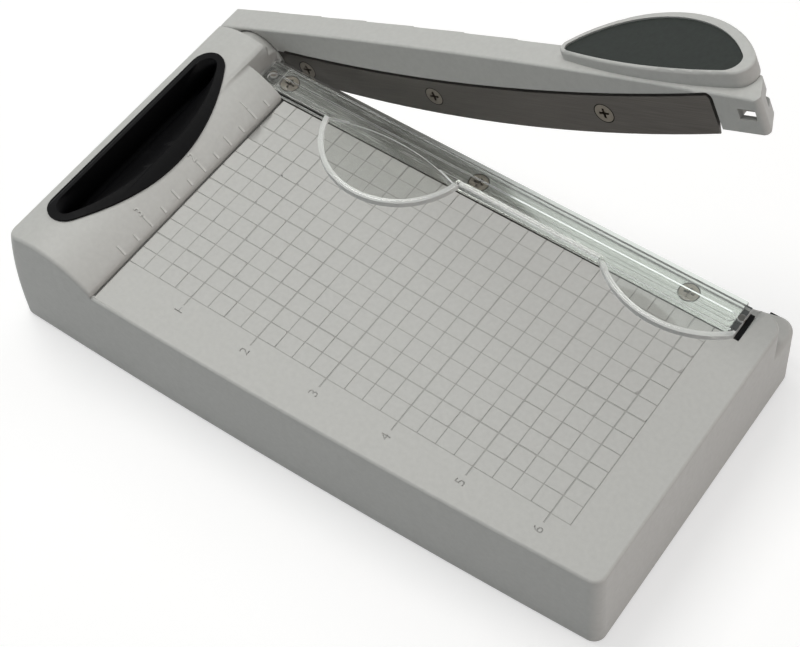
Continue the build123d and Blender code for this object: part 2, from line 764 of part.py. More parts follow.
def moving_blade():
    """Bowed steel blade, ground on its far side."""
    solid = slab(blade_side(), blade_far, blade_near)
    far_side = solid.faces().filter_by(Axis.Y).sort_by(Axis.Y)[-1]
    edge = far_side.edges().sort_by(Axis.Z)[0]
    solid = chamfer(edge, blade_bevel_height, blade_bevel_depth, reference=far_side)
    for hole in at_blade_screws(countersunk_hole(blade_screw_length)):
        solid -= hole
    return solid


def blade_screws():
    """Countersunk screws that hold the moving blade."""
    return at_blade_screws(countersunk_screw(blade_screw_length))


def arm_side():
    """Side outline of the arm: a gently crowned beam from the tail to the rounded tip, with its hub."""
    tail = (-arm_tail_length, arm_tail_height)
    crown = (arm_crown_reach, arm_crown_height)
    tip_top = (arm_reach, arm_tip_height)
    tip_middle = (arm_reach + arm_tip_bulge, (arm_tip_height - arm_foot_drop) / 2)
    tip_foot = (arm_reach, -arm_foot_drop)
    step = blade_end + blade_surround
    flange_right = (step, blade_edge_z(step, blade_flange_inset))
    flange_low = (blade_edge_middle, blade_edge_z(blade_edge_middle, blade_flange_inset))
    flange_left = (0, blade_edge_z(0, blade_flange_inset))
    beam = make_face(
        [
            ThreePointArc(tail, crown, tip_top),
            ThreePointArc(tip_top, tip_middle, tip_foot),
            Line(tip_foot, (step, -arm_foot_drop)),
            Line((step, -arm_foot_drop), flange_right),
            ThreePointArc(flange_right, flange_low, flange_left),
            Line(flange_left, (-arm_hub_radius, 0)),
            Line((-arm_hub_radius, 0), tail),
        ]
    )
    below = Pos(0, -arm_hub_radius) * Rectangle(2 * arm_hub_radius, 2 * arm_hub_radius)
    return beam + (Circle(arm_hub_radius) & below)


def arm_plan():
    """Plan of the arm, round at the corners of its tip, as a tall solid."""
    length = arm_reach + arm_tip_bulge + arm_hub_radius
    tip = length - arm_hub_radius
    outline = make_face(
        Polyline(
            (-arm_hub_radius, arm_near),
            (tip, arm_near),
            (tip - tip_rake, arm_far),
            (-arm_hub_radius, arm_far),
            close=True,
        )
    )
    near = outline.vertices().sort_by(Axis.X)[-1:]
    outline = fillet(near, tip_near_radius)
    far = outline.vertices().sort_by(Axis.Y)[-2:].sort_by(Axis.X)[-1:]
    outline = fillet(far, tip_far_radius)
    return extrude(outline, amount=arm_hub_radius, both=True)


def tip_hollow():
    """Hollow behind the lock window, open below, whose right end follows the rake of the tip."""
    left = window_reach - window_length / 2 - tip_hollow_run
    right = arm_reach - tip_wall
    near, far = arm_near + tip_wall, arm_far - tip_wall
    rake_share = tip_rake / arm_width
    plan = make_face(
        Polyline(
            (left, near),
            (right - rake_share * (near - arm_near), near),
            (right - rake_share * (far - arm_near), far),
            (left, far),
            close=True,
        )
    )
    ceiling = window_rise + window_height / 2 + tip_hollow_rise
    height = ceiling + arm_foot_drop + overrun
    return extrude(Pos(0, 0, ceiling - height) * plan, amount=height)


def handle_outline(middle, far_inset, near_inset):
    """Plan outline of the handle's dish, drawn smaller by two insets: two curves with round ends."""
    near = arm_near + handle_near_inset
    far = near + handle_width
    far_radius = handle_far_radius - far_inset
    near_radius = handle_near_radius - near_inset
    far_centre = far - handle_far_radius
    apart = near + handle_near_radius - far_centre
    rise = (far_radius**2 - near_radius**2 + apart**2) / (2 * apart)
    half = math.sqrt(far_radius**2 - rise**2)
    left = (middle - half, far_centre + rise)
    right = (middle + half, far_centre + rise)
    face = make_face(
        [
            ThreePointArc(left, (middle, far - far_inset), right),
            ThreePointArc(right, (middle, near + near_inset), left),
        ]
    )
    face = fillet(face.vertices().sort_by(Axis.X)[:1], handle_left_radius - near_inset)
    return fillet(face.vertices().sort_by(Axis.X)[-1:], handle_right_radius - near_inset)


def grip_seat(gap):
    """Plan outline of the grip's seat in the dish, or of the grip with a gap round it."""
    return handle_outline(handle_middle - handle_grip_shift, handle_far_rim + gap, handle_near_rim + gap)


def handle_dish():
    """Raised oval dish on the arm's top, with a round rim."""
    height = handle_top_rise - handle_under_rise
    solid = extrude(Pos(0, 0, handle_under_rise) * handle_outline(handle_middle, 0, 0), amount=height)
    solid = fillet(solid.faces().sort_by(Axis.Z)[-1].edges(), handle_rim_radius)
    solid = fillet(solid.faces().sort_by(Axis.Z)[0].edges(), handle_under_radius)
    return solid


def handle_grip():
    """Soft grip pad in the handle's dish."""
    height = handle_top_rise - handle_floor_rise - grip_below_rim
    return extrude(Pos(0, 0, handle_floor_rise) * grip_seat(seat_gap), amount=height)


def lever_arm():
    """Moulded arm with its hub, tip and handle dish."""
    solid = slab(arm_side(), arm_far, arm_near)
    solid = fillet(solid.edges().filter_by(is_arm_top), arm_edge_radius)
    solid = solid & arm_plan()
    solid += handle_dish()
    solid -= extrude(Pos(0, 0, handle_floor_rise) * grip_seat(0), amount=overrun)
    recess = offset(blade_side(), amount=blade_surround)
    solid -= slab(recess, blade_far, -overrun)
    solid -= across(pivot_boss_radius + hub_gap, 0, 0, -overrun, hub_floor)
    solid -= across(bush_radius + seat_gap, 0, 0, -overrun, arm_far + overrun)
    solid -= across(counterbore_radius, 0, 0, bolt_seat, arm_far + overrun)
    half_length, half_height = window_length / 2, window_height / 2
    low, high = window_rise - half_height, window_rise + half_height
    solid -= block(window_reach - half_length, window_reach + half_length, -overrun, arm_far + overrun, low, high)
    solid -= tip_hollow()
    for hole in at_blade_screws(countersunk_hole(blade_screw_length)):
        solid -= hole
    return solid


def is_arm_top(edge):
    """True for the two long edges along the arm's top."""
    return edge.length > arm_reach / 2 and edge.center().Z > 0


# Pivot
def pivot_bolt():
    """Bolt the lever turns on, from its head in the arm to its thread inside the base."""
    head_far = bolt_head_near + bolt_head_height
    head = across(bolt_head_radius, 0, 0, bolt_head_near, head_far)
    head = fillet(head.edges().sort_by(Axis.Y)[-1:], bolt_head_height / 4)
    shank = across(bolt_radius, 0, 0, nut_near - bolt_end_beyond_nut, bolt_head_near)
    socket = RegularPolygon(bolt_socket_flats / 2, 6, major_radius=False)
    socket_floor = head_far - bolt_socket_depth
    return head + shank - slab(socket, socket_floor + overrun, socket_floor)


def pivot_nut():
    """Lock nut on the bolt's thread."""
    solid = slab(RegularPolygon(nut_flats / 2, 6, major_radius=False), nut_far, nut_near)
    solid = chamfer(solid.faces().sort_by(Axis.Y)[0].edges(), nut_chamfer)
    return solid - across(bolt_radius + seat_gap, 0, 0, nut_near - overrun, nut_far + overrun)


def pivot_spring_washer():
    """Cone washer that keeps the lever stiff to turn."""
    inner = bolt_radius + seat_gap
    rim = nut_washer_near
    profile = make_face(
        Polyline(
            (inner, rim - spring_washer_cone),
            (spring_washer_radius, rim),
            (spring_washer_radius, rim - spring_washer_thickness),
            (inner, nut_far),
            close=True,
        )
    )
    return revolve(profile, Axis.Y)


def pivot_backing_plate():
    """Steel plate inside the head's far wall that spreads the bolt's pull."""
    half_length, half_height = backing_plate_length / 2, backing_plate_height / 2
    solid = block(-half_length, half_length, plate_near, wall_inside, -half_height, half_height)
    return solid - across(bolt_radius + seat_gap, 0, 0, plate_near - overrun, wall_inside + overrun)


# Bottom plate, screws and feet
def plate_blank():
    """Bottom plate's outline, a little smaller than the opening in the shell."""
    floor = base_hollow().faces().sort_by(Axis.Z)[0]
    outline = offset(Pos(0, 0, rim_z - floor.center().Z) * floor, amount=-plate_gap)
    return extrude(outline, amount=plate_thickness, dir=(0, 0, 1))


def foot_places(plate):
    """Middles of the four feet."""
    box = plate.bounding_box()
    columns = (box.min.X + foot_inset, box.max.X - foot_inset)
    front_row = [(x, wall + foot_inset - front_depth(x)) for x in columns]
    return front_row + [(x, box.max.Y - foot_inset) for x in columns]


def base_plate(plate):
    """Bottom plate with its screw holes and the recesses for the feet."""
    for x, y in plate_screw_places():
        plate -= upright(plate_screw_radius + seat_gap, x, y, rim_z - overrun, rim_z + overrun)
        sunk = rim_z + plate_screw_head_height
        plate -= upright(plate_screw_head_radius + seat_gap, x, y, rim_z - overrun, sunk)
    for x, y in foot_places(plate):
        plate -= upright(foot_radius + seat_gap, x, y, rim_z - overrun, rim_z + foot_recess)
    return plate


def base_plate_screws():
    """Screws of the bottom plate, sunk into its underside."""
    length = plate_thickness - plate_screw_head_height + plate_screw_length
    screw = pan_screw(plate_screw_radius, plate_screw_head_radius, plate_screw_head_height, length)
    seat = rim_z + plate_screw_head_height
    return [Pos(x, y, seat) * screw for x, y in plate_screw_places()]


def rubber_feet(plate):
    """Round rubber feet, set into the bottom plate."""
    foot = upright(foot_radius, 0, 0, 0, rim_z + foot_recess)
    foot = fillet(foot.edges().sort_by(Axis.Z)[:1], foot_edge_radius)
    return [Pos(x, y, 0) * foot for x, y in foot_places(plate)]


# Lock
def slider_section(x, z, half_height, grow, y_start, y_end):
    """Square length of the lock slider, or of a hole for it that is larger by an amount."""
    left, right = x - tongue_half_length - grow, x + tongue_half_length + grow
    return block(left, right, y_start, y_end, z - half_height - grow, z + half_height + grow)


def lock_slider():
    """Slider with the tongue that enters the arm's window and the grooved knob that pulls it out."""
    tongue = slider_section(lock_x, lock_z, tongue_half_height, 0, flange_far, far_face - seat_gap)
    tongue = chamfer(tongue.faces().sort_by(Axis.Y)[-1].edges(), lock_lead)
    knob_half = knob_height / 2
    knob = slider_section(knob_x, knob_z, knob_half, 0, flange_far, landing_right_depth + knob_reach)
    groove_start = landing_right_depth + knob_groove_start
    groove_end = groove_start + knob_groove_width
    core = slider_section(knob_x, knob_z, knob_half, -knob_groove_depth, groove_start, groove_end)
    knob -= slider_section(knob_x, knob_z, knob_half, overrun, groove_start, groove_end) - core
    left = lock_x - tongue_half_length - lock_flange_left_lip
    right = lock_x + tongue_half_length + lock_flange_right_lip
    low = knob_z - knob_half - lock_flange_lip
    high = lock_z + tongue_half_height
    web = block(left, right, flange_near, flange_far, low, high)
    foot_left = knob_x - tongue_half_length - lock_flange_lip
    foot_top = knob_z + knob_half + lock_flange_lip
    return tongue + knob + web + block(foot_left, right, flange_near, flange_far, low, foot_top)


def lock_stop_plate():
    """Plate behind the slider that keeps it in its holes."""
    low, high = stop_z - stop_height / 2, stop_z + stop_height / 2
    solid = block(stop_left, stop_left + stop_length, stop_far - stop_thickness, stop_far, low, high)
    return solid - across(stop_screw_radius + seat_gap, stop_screw_x, stop_z, stop_far - overrun, stop_far + overrun)


def lock_stop_screw():
    """Screw that holds the stop plate to its post."""
    screw = pan_screw(stop_screw_radius, stop_screw_head_radius, stop_screw_head_height, stop_screw_length)
    return Pos(stop_screw_x, stop_far - stop_thickness, stop_z) * Rot(-90, 0, 0) * screw


# Assembly
plate = plate_blank()
shank_hole = bolt_radius + seat_gap
pieces = {
    "base_shell": base_shell(),
    "base_plate": base_plate(plate),
    "base_plate_screws": base_plate_screws(),
    "rubber_feet": rubber_feet(plate),
    "carry_grip": carry_grip(),
    "fixed_blade": fixed_blade(),
    "fixed_blade_screws": fixed_blade_screws(),
    "paper_guard": paper_guard(),
    "guard_keeper": guard_keeper(),
    "guard_screws": guard_screws(),
    "pivot_backing_plate": Pos(pivot_x, 0, pivot_z) * pivot_backing_plate(),
    "pivot_bolt": open_lever(pivot_bolt()),
    "pivot_thrust_washer": open_lever(ring(thrust_washer_radius, shank_hole, thrust_near, thrust_far)),
    "pivot_head_washer": open_lever(ring(head_washer_radius, shank_hole, head_washer_near, head_washer_far)),
    "pivot_nut_washer": open_lever(ring(nut_washer_radius, shank_hole, nut_washer_near, plate_near)),
    "pivot_spring_washer": open_lever(pivot_spring_washer()),
    "pivot_nut": open_lever(pivot_nut()),
    "pivot_bush": open_lever(ring(bush_radius, bolt_radius + pivot_running_gap, hub_floor, bolt_seat)),
    "lever_arm": open_lever(lever_arm()),
    "moving_blade": open_lever(moving_blade()),
    "blade_screws": [open_lever(screw) for screw in blade_screws()],
    "handle_grip": open_lever(handle_grip()),
    "lock_slider": lock_slider(),
    "lock_stop_plate": lock_stop_plate(),
    "lock_stop_screw": lock_stop_screw(),
}

groups = {name: piece if isinstance(piece, list) else [piece] for name, piece in pieces.items()}
box = Compound([solid for group in groups.values() for piece in group for solid in piece.solids()]).bounding_box()
to_origin = Pos(-box.center().X, -box.center().Y, -box.min.Z)
for name, group in groups.items():
    solids = [to_origin * solid for piece in group for solid in piece.solids()]
    export_step(Compound(solids), f"parts/{name}.step")
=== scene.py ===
"""A small guillotine paper trimmer on a pale studio floor.

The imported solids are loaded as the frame. Each sub-assembly below dresses its own solids: the deck gets its ruled
grooves and figures, the head its raised rule, the guard its rounded rims, and every piece its finish.
"""

import logging
import math
from collections.abc import Iterable, Sequence
from dataclasses import dataclass, field
from enum import Enum

import bmesh
import bpy
from mathutils import Matrix, Vector


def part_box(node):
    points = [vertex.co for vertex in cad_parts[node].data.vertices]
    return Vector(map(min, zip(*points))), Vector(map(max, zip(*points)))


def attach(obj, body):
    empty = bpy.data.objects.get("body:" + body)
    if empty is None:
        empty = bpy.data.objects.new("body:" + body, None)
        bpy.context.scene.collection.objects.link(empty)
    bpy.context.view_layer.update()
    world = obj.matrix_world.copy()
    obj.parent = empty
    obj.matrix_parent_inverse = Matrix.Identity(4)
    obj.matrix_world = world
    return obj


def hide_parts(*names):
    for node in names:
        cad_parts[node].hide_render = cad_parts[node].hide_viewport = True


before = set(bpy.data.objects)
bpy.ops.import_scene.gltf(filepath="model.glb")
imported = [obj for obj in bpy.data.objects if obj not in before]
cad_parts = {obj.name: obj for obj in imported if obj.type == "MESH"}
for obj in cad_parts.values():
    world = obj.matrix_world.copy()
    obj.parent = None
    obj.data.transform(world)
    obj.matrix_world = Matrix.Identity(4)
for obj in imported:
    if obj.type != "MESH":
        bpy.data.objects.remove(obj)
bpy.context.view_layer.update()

# Units of length, in metres, and the steps of the rules.
MM = 0.001
INCH = 25.4 * MM
QUARTERS = 4
QUARTER_INCH = INCH / QUARTERS

# Distances within which points are welded, and angles at which faces are merged and edges rounded or kept sharp.
SEAM_WELD = 0.0005 * MM
FIGURE_WELD = 0.001 * MM
MERGED_BELOW = math.radians(0.2)
ROUNDED_FROM = math.radians(40.0)
SHARP_FROM = math.radians(32.0)

ROUNDING_STEPS = 3
FLAT_FACE_WEIGHT = 80

UPWARD = Vector((0.0, 0.0, 1.0))
FORWARD = Vector((0.0, -1.0, 0.0))
WHITE = (1.0, 1.0, 1.0, 1.0)

Triple = tuple[float, float, float]
Mesh = bmesh.types.BMesh
Piece = bpy.types.Object
Socket = bpy.types.NodeSocket

log = logging.getLogger("trimmer")

made_materials: dict[str, bpy.types.Material] = {}


class Body(Enum):
    """Bodies that the built pieces move with."""

    BASE = "base"
    LEVER = "lever"


class Slot(Enum):
    """Material slots named in the record."""

    GREY_PLASTIC = "grey_plastic"
    DARK_PLASTIC = "dark_plastic"
    BLACK_PLASTIC = "black_plastic"
    BEARING_PLASTIC = "bearing_plastic"
    CLEAR_PLASTIC = "clear_plastic"
    SOFT_GRIP = "soft_grip"
    FOOT_RUBBER = "foot_rubber"
    BLADE_STEEL = "blade_steel"
    STRIP_STEEL = "strip_steel"
    SCREW_STEEL = "screw_steel"
    BUSH_BRASS = "bush_brass"


class Coat(Enum):
    """Which of a piece's two finishes a face has."""

    FIRST = 0
    SECOND = 1


class Mark(Enum):
    """Kinds of line in the rules, each with the quarter inches from one to the next."""

    QUARTER = 1
    HALF = 2
    INCH = QUARTERS

    @classmethod
    def of(cls, quarters: int) -> "Mark":
        """Kind of the line that stands this many quarter inches from the start."""
        return next(mark for mark in (cls.INCH, cls.HALF, cls.QUARTER) if quarters % mark.value == 0)


# ---------------------------------------------------------------- places


@dataclass(frozen=True)
class Layout:
    """Places that the sub-assemblies share, in the row frame.

    Attributes:
        fence_x: Foot of the fence, where the ruled deck starts.
        cutting_y: Plane in which the two blades meet.
        deck_z: Height of the deck.
        lever_turn: Angle of the arm over the deck as it stands open.
    """

    fence_x: float
    cutting_y: float
    deck_z: float
    lever_turn: float

    @classmethod
    def from_frame(cls) -> "Layout":
        """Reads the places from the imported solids.

        Returns:
            The layout of the trimmer at rest.
        """
        low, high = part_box("fixed_blade")
        blade_beyond_fence = 12.0 * MM
        open_turn = math.radians(23.5)
        return cls(low.x + blade_beyond_fence, high.y, high.z, open_turn)

    def on_deck(self, along: float, depth: float, rise: float = 0.0) -> Vector:
        """Point over the deck.

        Args:
            along: Distance right of the fence.
            depth: Distance in front of the cutting plane.
            rise: Height over the deck.

        Returns:
            The point in the row frame.
        """
        return Vector((self.fence_x + along, self.cutting_y - depth, self.deck_z + rise))


# ---------------------------------------------------------------- finishes


def add_node(
    tree: bpy.types.NodeTree,
    kind: str,
    linked: dict[str | int, Socket] | None = None,
    **values: float | Sequence[float],
) -> bpy.types.Node:
    """Adds a node to a tree.

    Args:
        tree: Tree to add to.
        kind: Kind of node.
        linked: Sockets that feed inputs of the node, by the inputs' names or numbers.
        values: Constants of other inputs, with underscores for the spaces in an input's name.

    Returns:
        The node.
    """
    node = tree.nodes.new(kind)
    for name, value in values.items():
        node.inputs[name.replace("_", " ")].default_value = value
    for name, socket in (linked or {}).items():
        tree.links.new(socket, node.inputs[name])
    return node


@dataclass(frozen=True)
class Speckle:
    """Fineness of a noise.

    Attributes:
        scale: Spots per metre, or per unit of stretched coordinates.
        detail: Octaves of finer noise.
    """

    scale: float
    detail: float


class NodeBench:
    """Node tree of one material, with the node chains that the finishes share.

    Attributes:
        NOISE_SPAN: Levels between which nearly all of a noise lies.
    """

    NOISE_SPAN = (0.3, 0.7)

    def __init__(self, name: str) -> None:
        """Starts a material with a plain principled surface.

        Args:
            name: Name of the material.
        """
        self.material = bpy.data.materials.new(name)
        self.material.use_nodes = True
        self.tree = self.material.node_tree
        self.surface = self.tree.nodes["Principled BSDF"]
        self.place = add_node(self.tree, "ShaderNodeTexCoord").outputs["Object"]

    def set(self, **values: float | tuple[float, ...]) -> None:
        """Sets constants on the surface, with underscores for the spaces in a socket's name."""
        for name, value in values.items():
            self.surface.inputs[name.replace("_", " ")].default_value = value

    def feed(self, name: str, socket: Socket) -> None:
        """Links a socket to an input of the surface."""
        self.tree.links.new(socket, self.surface.inputs[name])

    def stretched(self, scale: Triple, turn: float) -> Socket:
        """Object coordinates turned about Y, then scaled along each axis.

        Args:
            scale: Scale along X, Y and Z.
            turn: Angle in radians that brings the piece's length onto X.

        Returns:
            The socket that carries the coordinates.
        """
        turned = add_node(self.tree, "ShaderNodeMapping", {"Vector": self.place}, Rotation=(0.0, turn, 0.0))
        scaled = add_node(self.tree, "ShaderNodeMapping", {"Vector": turned.outputs["Vector"]}, Scale=scale)
        return scaled.outputs["Vector"]

    def noise(self, speckle: Speckle, vector: Socket | None = None) -> Socket:
        """Noise over the piece.

        Args:
            speckle: Its fineness.
            vector: Coordinates, the object's own if none are given.

        Returns:
            The socket that carries the noise value.
        """
        feed = {"Vector": vector or self.place}
        noise = add_node(self.tree, "ShaderNodeTexNoise", feed, Scale=speckle.scale, Detail=speckle.detail)
        return noise.outputs["Fac"]

    def colours(self, value: Socket, dark: Triple, light: Triple) -> None:
        """Lets the surface colour run between two tones with a value.

        Args:
            value: Socket that carries a noise.
            dark: Tone at its low end.
            light: Tone at its high end.
        """
        ramp = add_node(self.tree, "ShaderNodeValToRGB", {"Fac": value})
        for stop, level, tone in zip(ramp.color_ramp.elements, self.NOISE_SPAN, (dark, light)):
            stop.position = level
            stop.color = (*tone, 1.0)
        self.feed("Base Color", ramp.outputs["Color"])

    def roughness(self, value: Socket, low: float, high: float) -> None:
        """Lets the roughness run between two levels with a value.

        Args:
            value: Socket that carries a noise.
            low: Roughness at its low end.
            high: Roughness at its high end.
        """
        start, end = self.NOISE_SPAN
        limits = {"From_Min": start, "From_Max": end, "To_Min": low, "To_Max": high}
        spread = add_node(self.tree, "ShaderNodeMapRange", {"Value": value}, **limits)
        self.feed("Roughness", spread.outputs["Result"])

    def relief(self, value: Socket, depth: float, strength: float) -> None:
        """Adds a fine relief to the surface.

        Args:
            value: Socket that carries the height.
            depth: Height of the relief in metres.
            strength: Share of it that shows.
        """
        bump = add_node(self.tree, "ShaderNodeBump", {"Height": value}, Strength=strength, Distance=depth)
        self.feed("Normal", bump.outputs["Normal"])


@dataclass(frozen=True)
class Finish:
    """What every finish has.

    Attributes:
        name: Name of the material.
        slot: Slot of the record that it stands for.
        colour: Middle tone, linear.
        rough: Middle roughness.
    """

    name: str
    slot: Slot
    colour: Triple
    rough: float

    def tone(self, share: float) -> Triple:
        """Middle tone made lighter or darker by a share."""
        red, green, blue = (channel * share for channel in self.colour)
        return red, green, blue

    def mottled(self, bench: NodeBench, value: Socket, share: float) -> None:
        """Lets the tone vary with a value, by a share to either side."""
        bench.colours(value, self.tone(1.0 - share), self.tone(1.0 + share))

    def uneven(self, bench: NodeBench, value: Socket, spread: float) -> None:
        """Lets the roughness vary with a value, by a spread to either side."""
        bench.roughness(value, self.rough - spread, self.rough + spread)

    def dress(self, bench: NodeBench) -> None:
        """Builds the node chains of this finish on the bench."""
        raise NotImplementedError

    def material(self) -> bpy.types.Material:
        """Material of this finish, built once.

        Returns:
            The material.
        """
        if self.name not in made_materials:
            bench = NodeBench(self.name)
            self.dress(bench)
            made_materials[self.name] = bench.material
        return made_materials[self.name]


@dataclass(frozen=True)
class MouldedPlastic(Finish):
    """Moulded plastic with the fine grain of its mould.

    Attributes:
        gloss: Level of the mirrored light.
        mottle: Share by which the tone varies.
        cloud: Fineness of the mottling.
        sheen: Fineness of the spots that shine more or less.
        sheen_spread: How far the roughness varies between them.
        grain: Fineness of the grain.
        grain_depth: Height of the grain.
        grain_strength: Share of it that shows.
    """

    gloss: float = 0.5
    mottle: float = 0.03
    cloud: Speckle = Speckle(650.0, 4.0)
    sheen: Speckle = Speckle(420.0, 2.0)
    sheen_spread: float = 0.05
    grain: Speckle = Speckle(1700.0, 2.0)
    grain_depth: float = 0.045 * MM
    grain_strength: float = 0.35

    def dress(self, bench: NodeBench) -> None:
        """Mottled tone, uneven sheen and fine grain.

        Args:
            bench: Bench of the material.
        """
        bench.set(Specular_IOR_Level=self.gloss)
        self.mottled(bench, bench.noise(self.cloud), self.mottle)
        self.uneven(bench, bench.noise(self.sheen), self.sheen_spread)
        bench.relief(bench.noise(self.grain), self.grain_depth, self.grain_strength)


@dataclass(frozen=True)
class BrushedSteel(Finish):
    """Steel ground or brushed along one direction.

    Attributes:
        turn: Angle about Y that brings the brushing onto X.
        along: Streaks per metre along the brushing.
        across: Streaks per metre across it.
        streaks: Fineness of the streaks, in coordinates stretched by these two.
        streak: Share by which the tone varies from streak to streak.
        sheen_spread: How far the roughness varies from streak to streak.
        scratch_depth: Height of the scratches.
        scratch: Share of it that shows.
    """

    turn: float = 0.0
    along: float = 70.0
    across: float = 5200.0
    streaks: Speckle = Speckle(1.0, 3.0)
    streak: float = 0.12
    sheen_spread: float = 0.07
    scratch_depth: float = 0.012 * MM
    scratch: float = 0.3

    def dress(self, bench: NodeBench) -> None:
        """Streaked tone, streaked sheen and fine scratches along the brushing.

        Args:
            bench: Bench of the material.
        """
        bench.set(Metallic=1.0)
        streaks = bench.noise(self.streaks, bench.stretched((self.along, self.across, self.across), self.turn))
        self.mottled(bench, streaks, self.streak)
        self.uneven(bench, streaks, self.sheen_spread)
        bench.relief(streaks, self.scratch_depth, self.scratch)


@dataclass(frozen=True)
class TurnedMetal(Finish):
    """Plated or turned metal of the screws, washers and bushes.

    Attributes:
        spots: Fineness of the uneven plating.
        mottle: Share by which the tone varies with it.
        sheen_spread: How far the roughness varies with it.
        grain: Fineness of the turning marks.
        grain_depth: Height of these marks.
        grain_strength: Share of it that shows.
    """

    spots: Speckle = Speckle(900.0, 3.0)
    mottle: float = 0.08
    sheen_spread: float = 0.06
    grain: Speckle = Speckle(4200.0, 2.0)
    grain_depth: float = 0.01 * MM
    grain_strength: float = 0.25

    def dress(self, bench: NodeBench) -> None:
        """Slightly uneven plating.

        Args:
            bench: Bench of the material.
        """
        bench.set(Metallic=1.0)
        spots = bench.noise(self.spots)
        self.mottled(bench, spots, self.mottle)
        self.uneven(bench, spots, self.sheen_spread)
        bench.relief(bench.noise(self.grain), self.grain_depth, self.grain_strength)


@dataclass(frozen=True)
class ClearPlastic(Finish):
    """Clear polished plastic.

    Attributes:
        index: Index of refraction.
        clarity: Share of the light that goes through.
        flow: Fineness of the traces of flow from the mould.
        flow_shade: Share by which the tone darkens in them.
        flow_haze: How much rougher they are.
        ripple: Fineness of the ripples in the polish.
        ripple_depth: Height of the ripples.
        ripple_strength: Share of it that shows.
    """

    index: float = 1.49
    clarity: float = 1.0
    flow: Speckle = Speckle(40.0, 2.0)
    flow_shade: float = 0.015
    flow_haze: float = 0.03
    ripple: Speckle = Speckle(120.0, 2.0)
    ripple_depth: float = 0.004 * MM
    ripple_strength: float = 0.1

    def dress(self, bench: NodeBench) -> None:
        """Clear body with a trace of flow from the mould.

        Args:
            bench: Bench of the material.
        """
        bench.set(Transmission_Weight=self.clarity, IOR=self.index)
        flow = bench.noise(self.flow)
        bench.colours(flow, self.tone(1.0 - self.flow_shade), self.colour)
        bench.roughness(flow, self.rough, self.rough + self.flow_haze)
        bench.relief(bench.noise(self.ripple), self.ripple_depth, self.ripple_strength)


@dataclass(frozen=True)
class SoftRubber(Finish):
    """Soft, dull rubber.

    Attributes:
        gloss: Level of the mirrored light.
        cloud: Fineness of the powdery mottling.
        mottle: Share by which the tone varies with it.
        sheen_spread: How far the roughness varies with it.
        grain: Fineness of the grain.
        grain_depth: Height of the grain.
        grain_strength: Share of it that shows.
    """

    gloss: float = 0.2
    cloud: Speckle = Speckle(700.0, 4.0)
    mottle: float = 0.22
    sheen_spread: float = 0.06
    grain: Speckle = Speckle(1500.0, 3.0)
    grain_depth: float = 0.05 * MM
    grain_strength: float = 0.45

    def dress(self, bench: NodeBench) -> None:
        """Dull tone with a powdery grain.

        Args:
            bench: Bench of the material.
        """
        bench.set(Specular_IOR_Level=self.gloss)
        cloud = bench.noise(self.cloud)
        self.mottled(bench, cloud, self.mottle)
        self.uneven(bench, cloud, self.sheen_spread)
        bench.relief(bench.noise(self.grain), self.grain_depth, self.grain_strength)


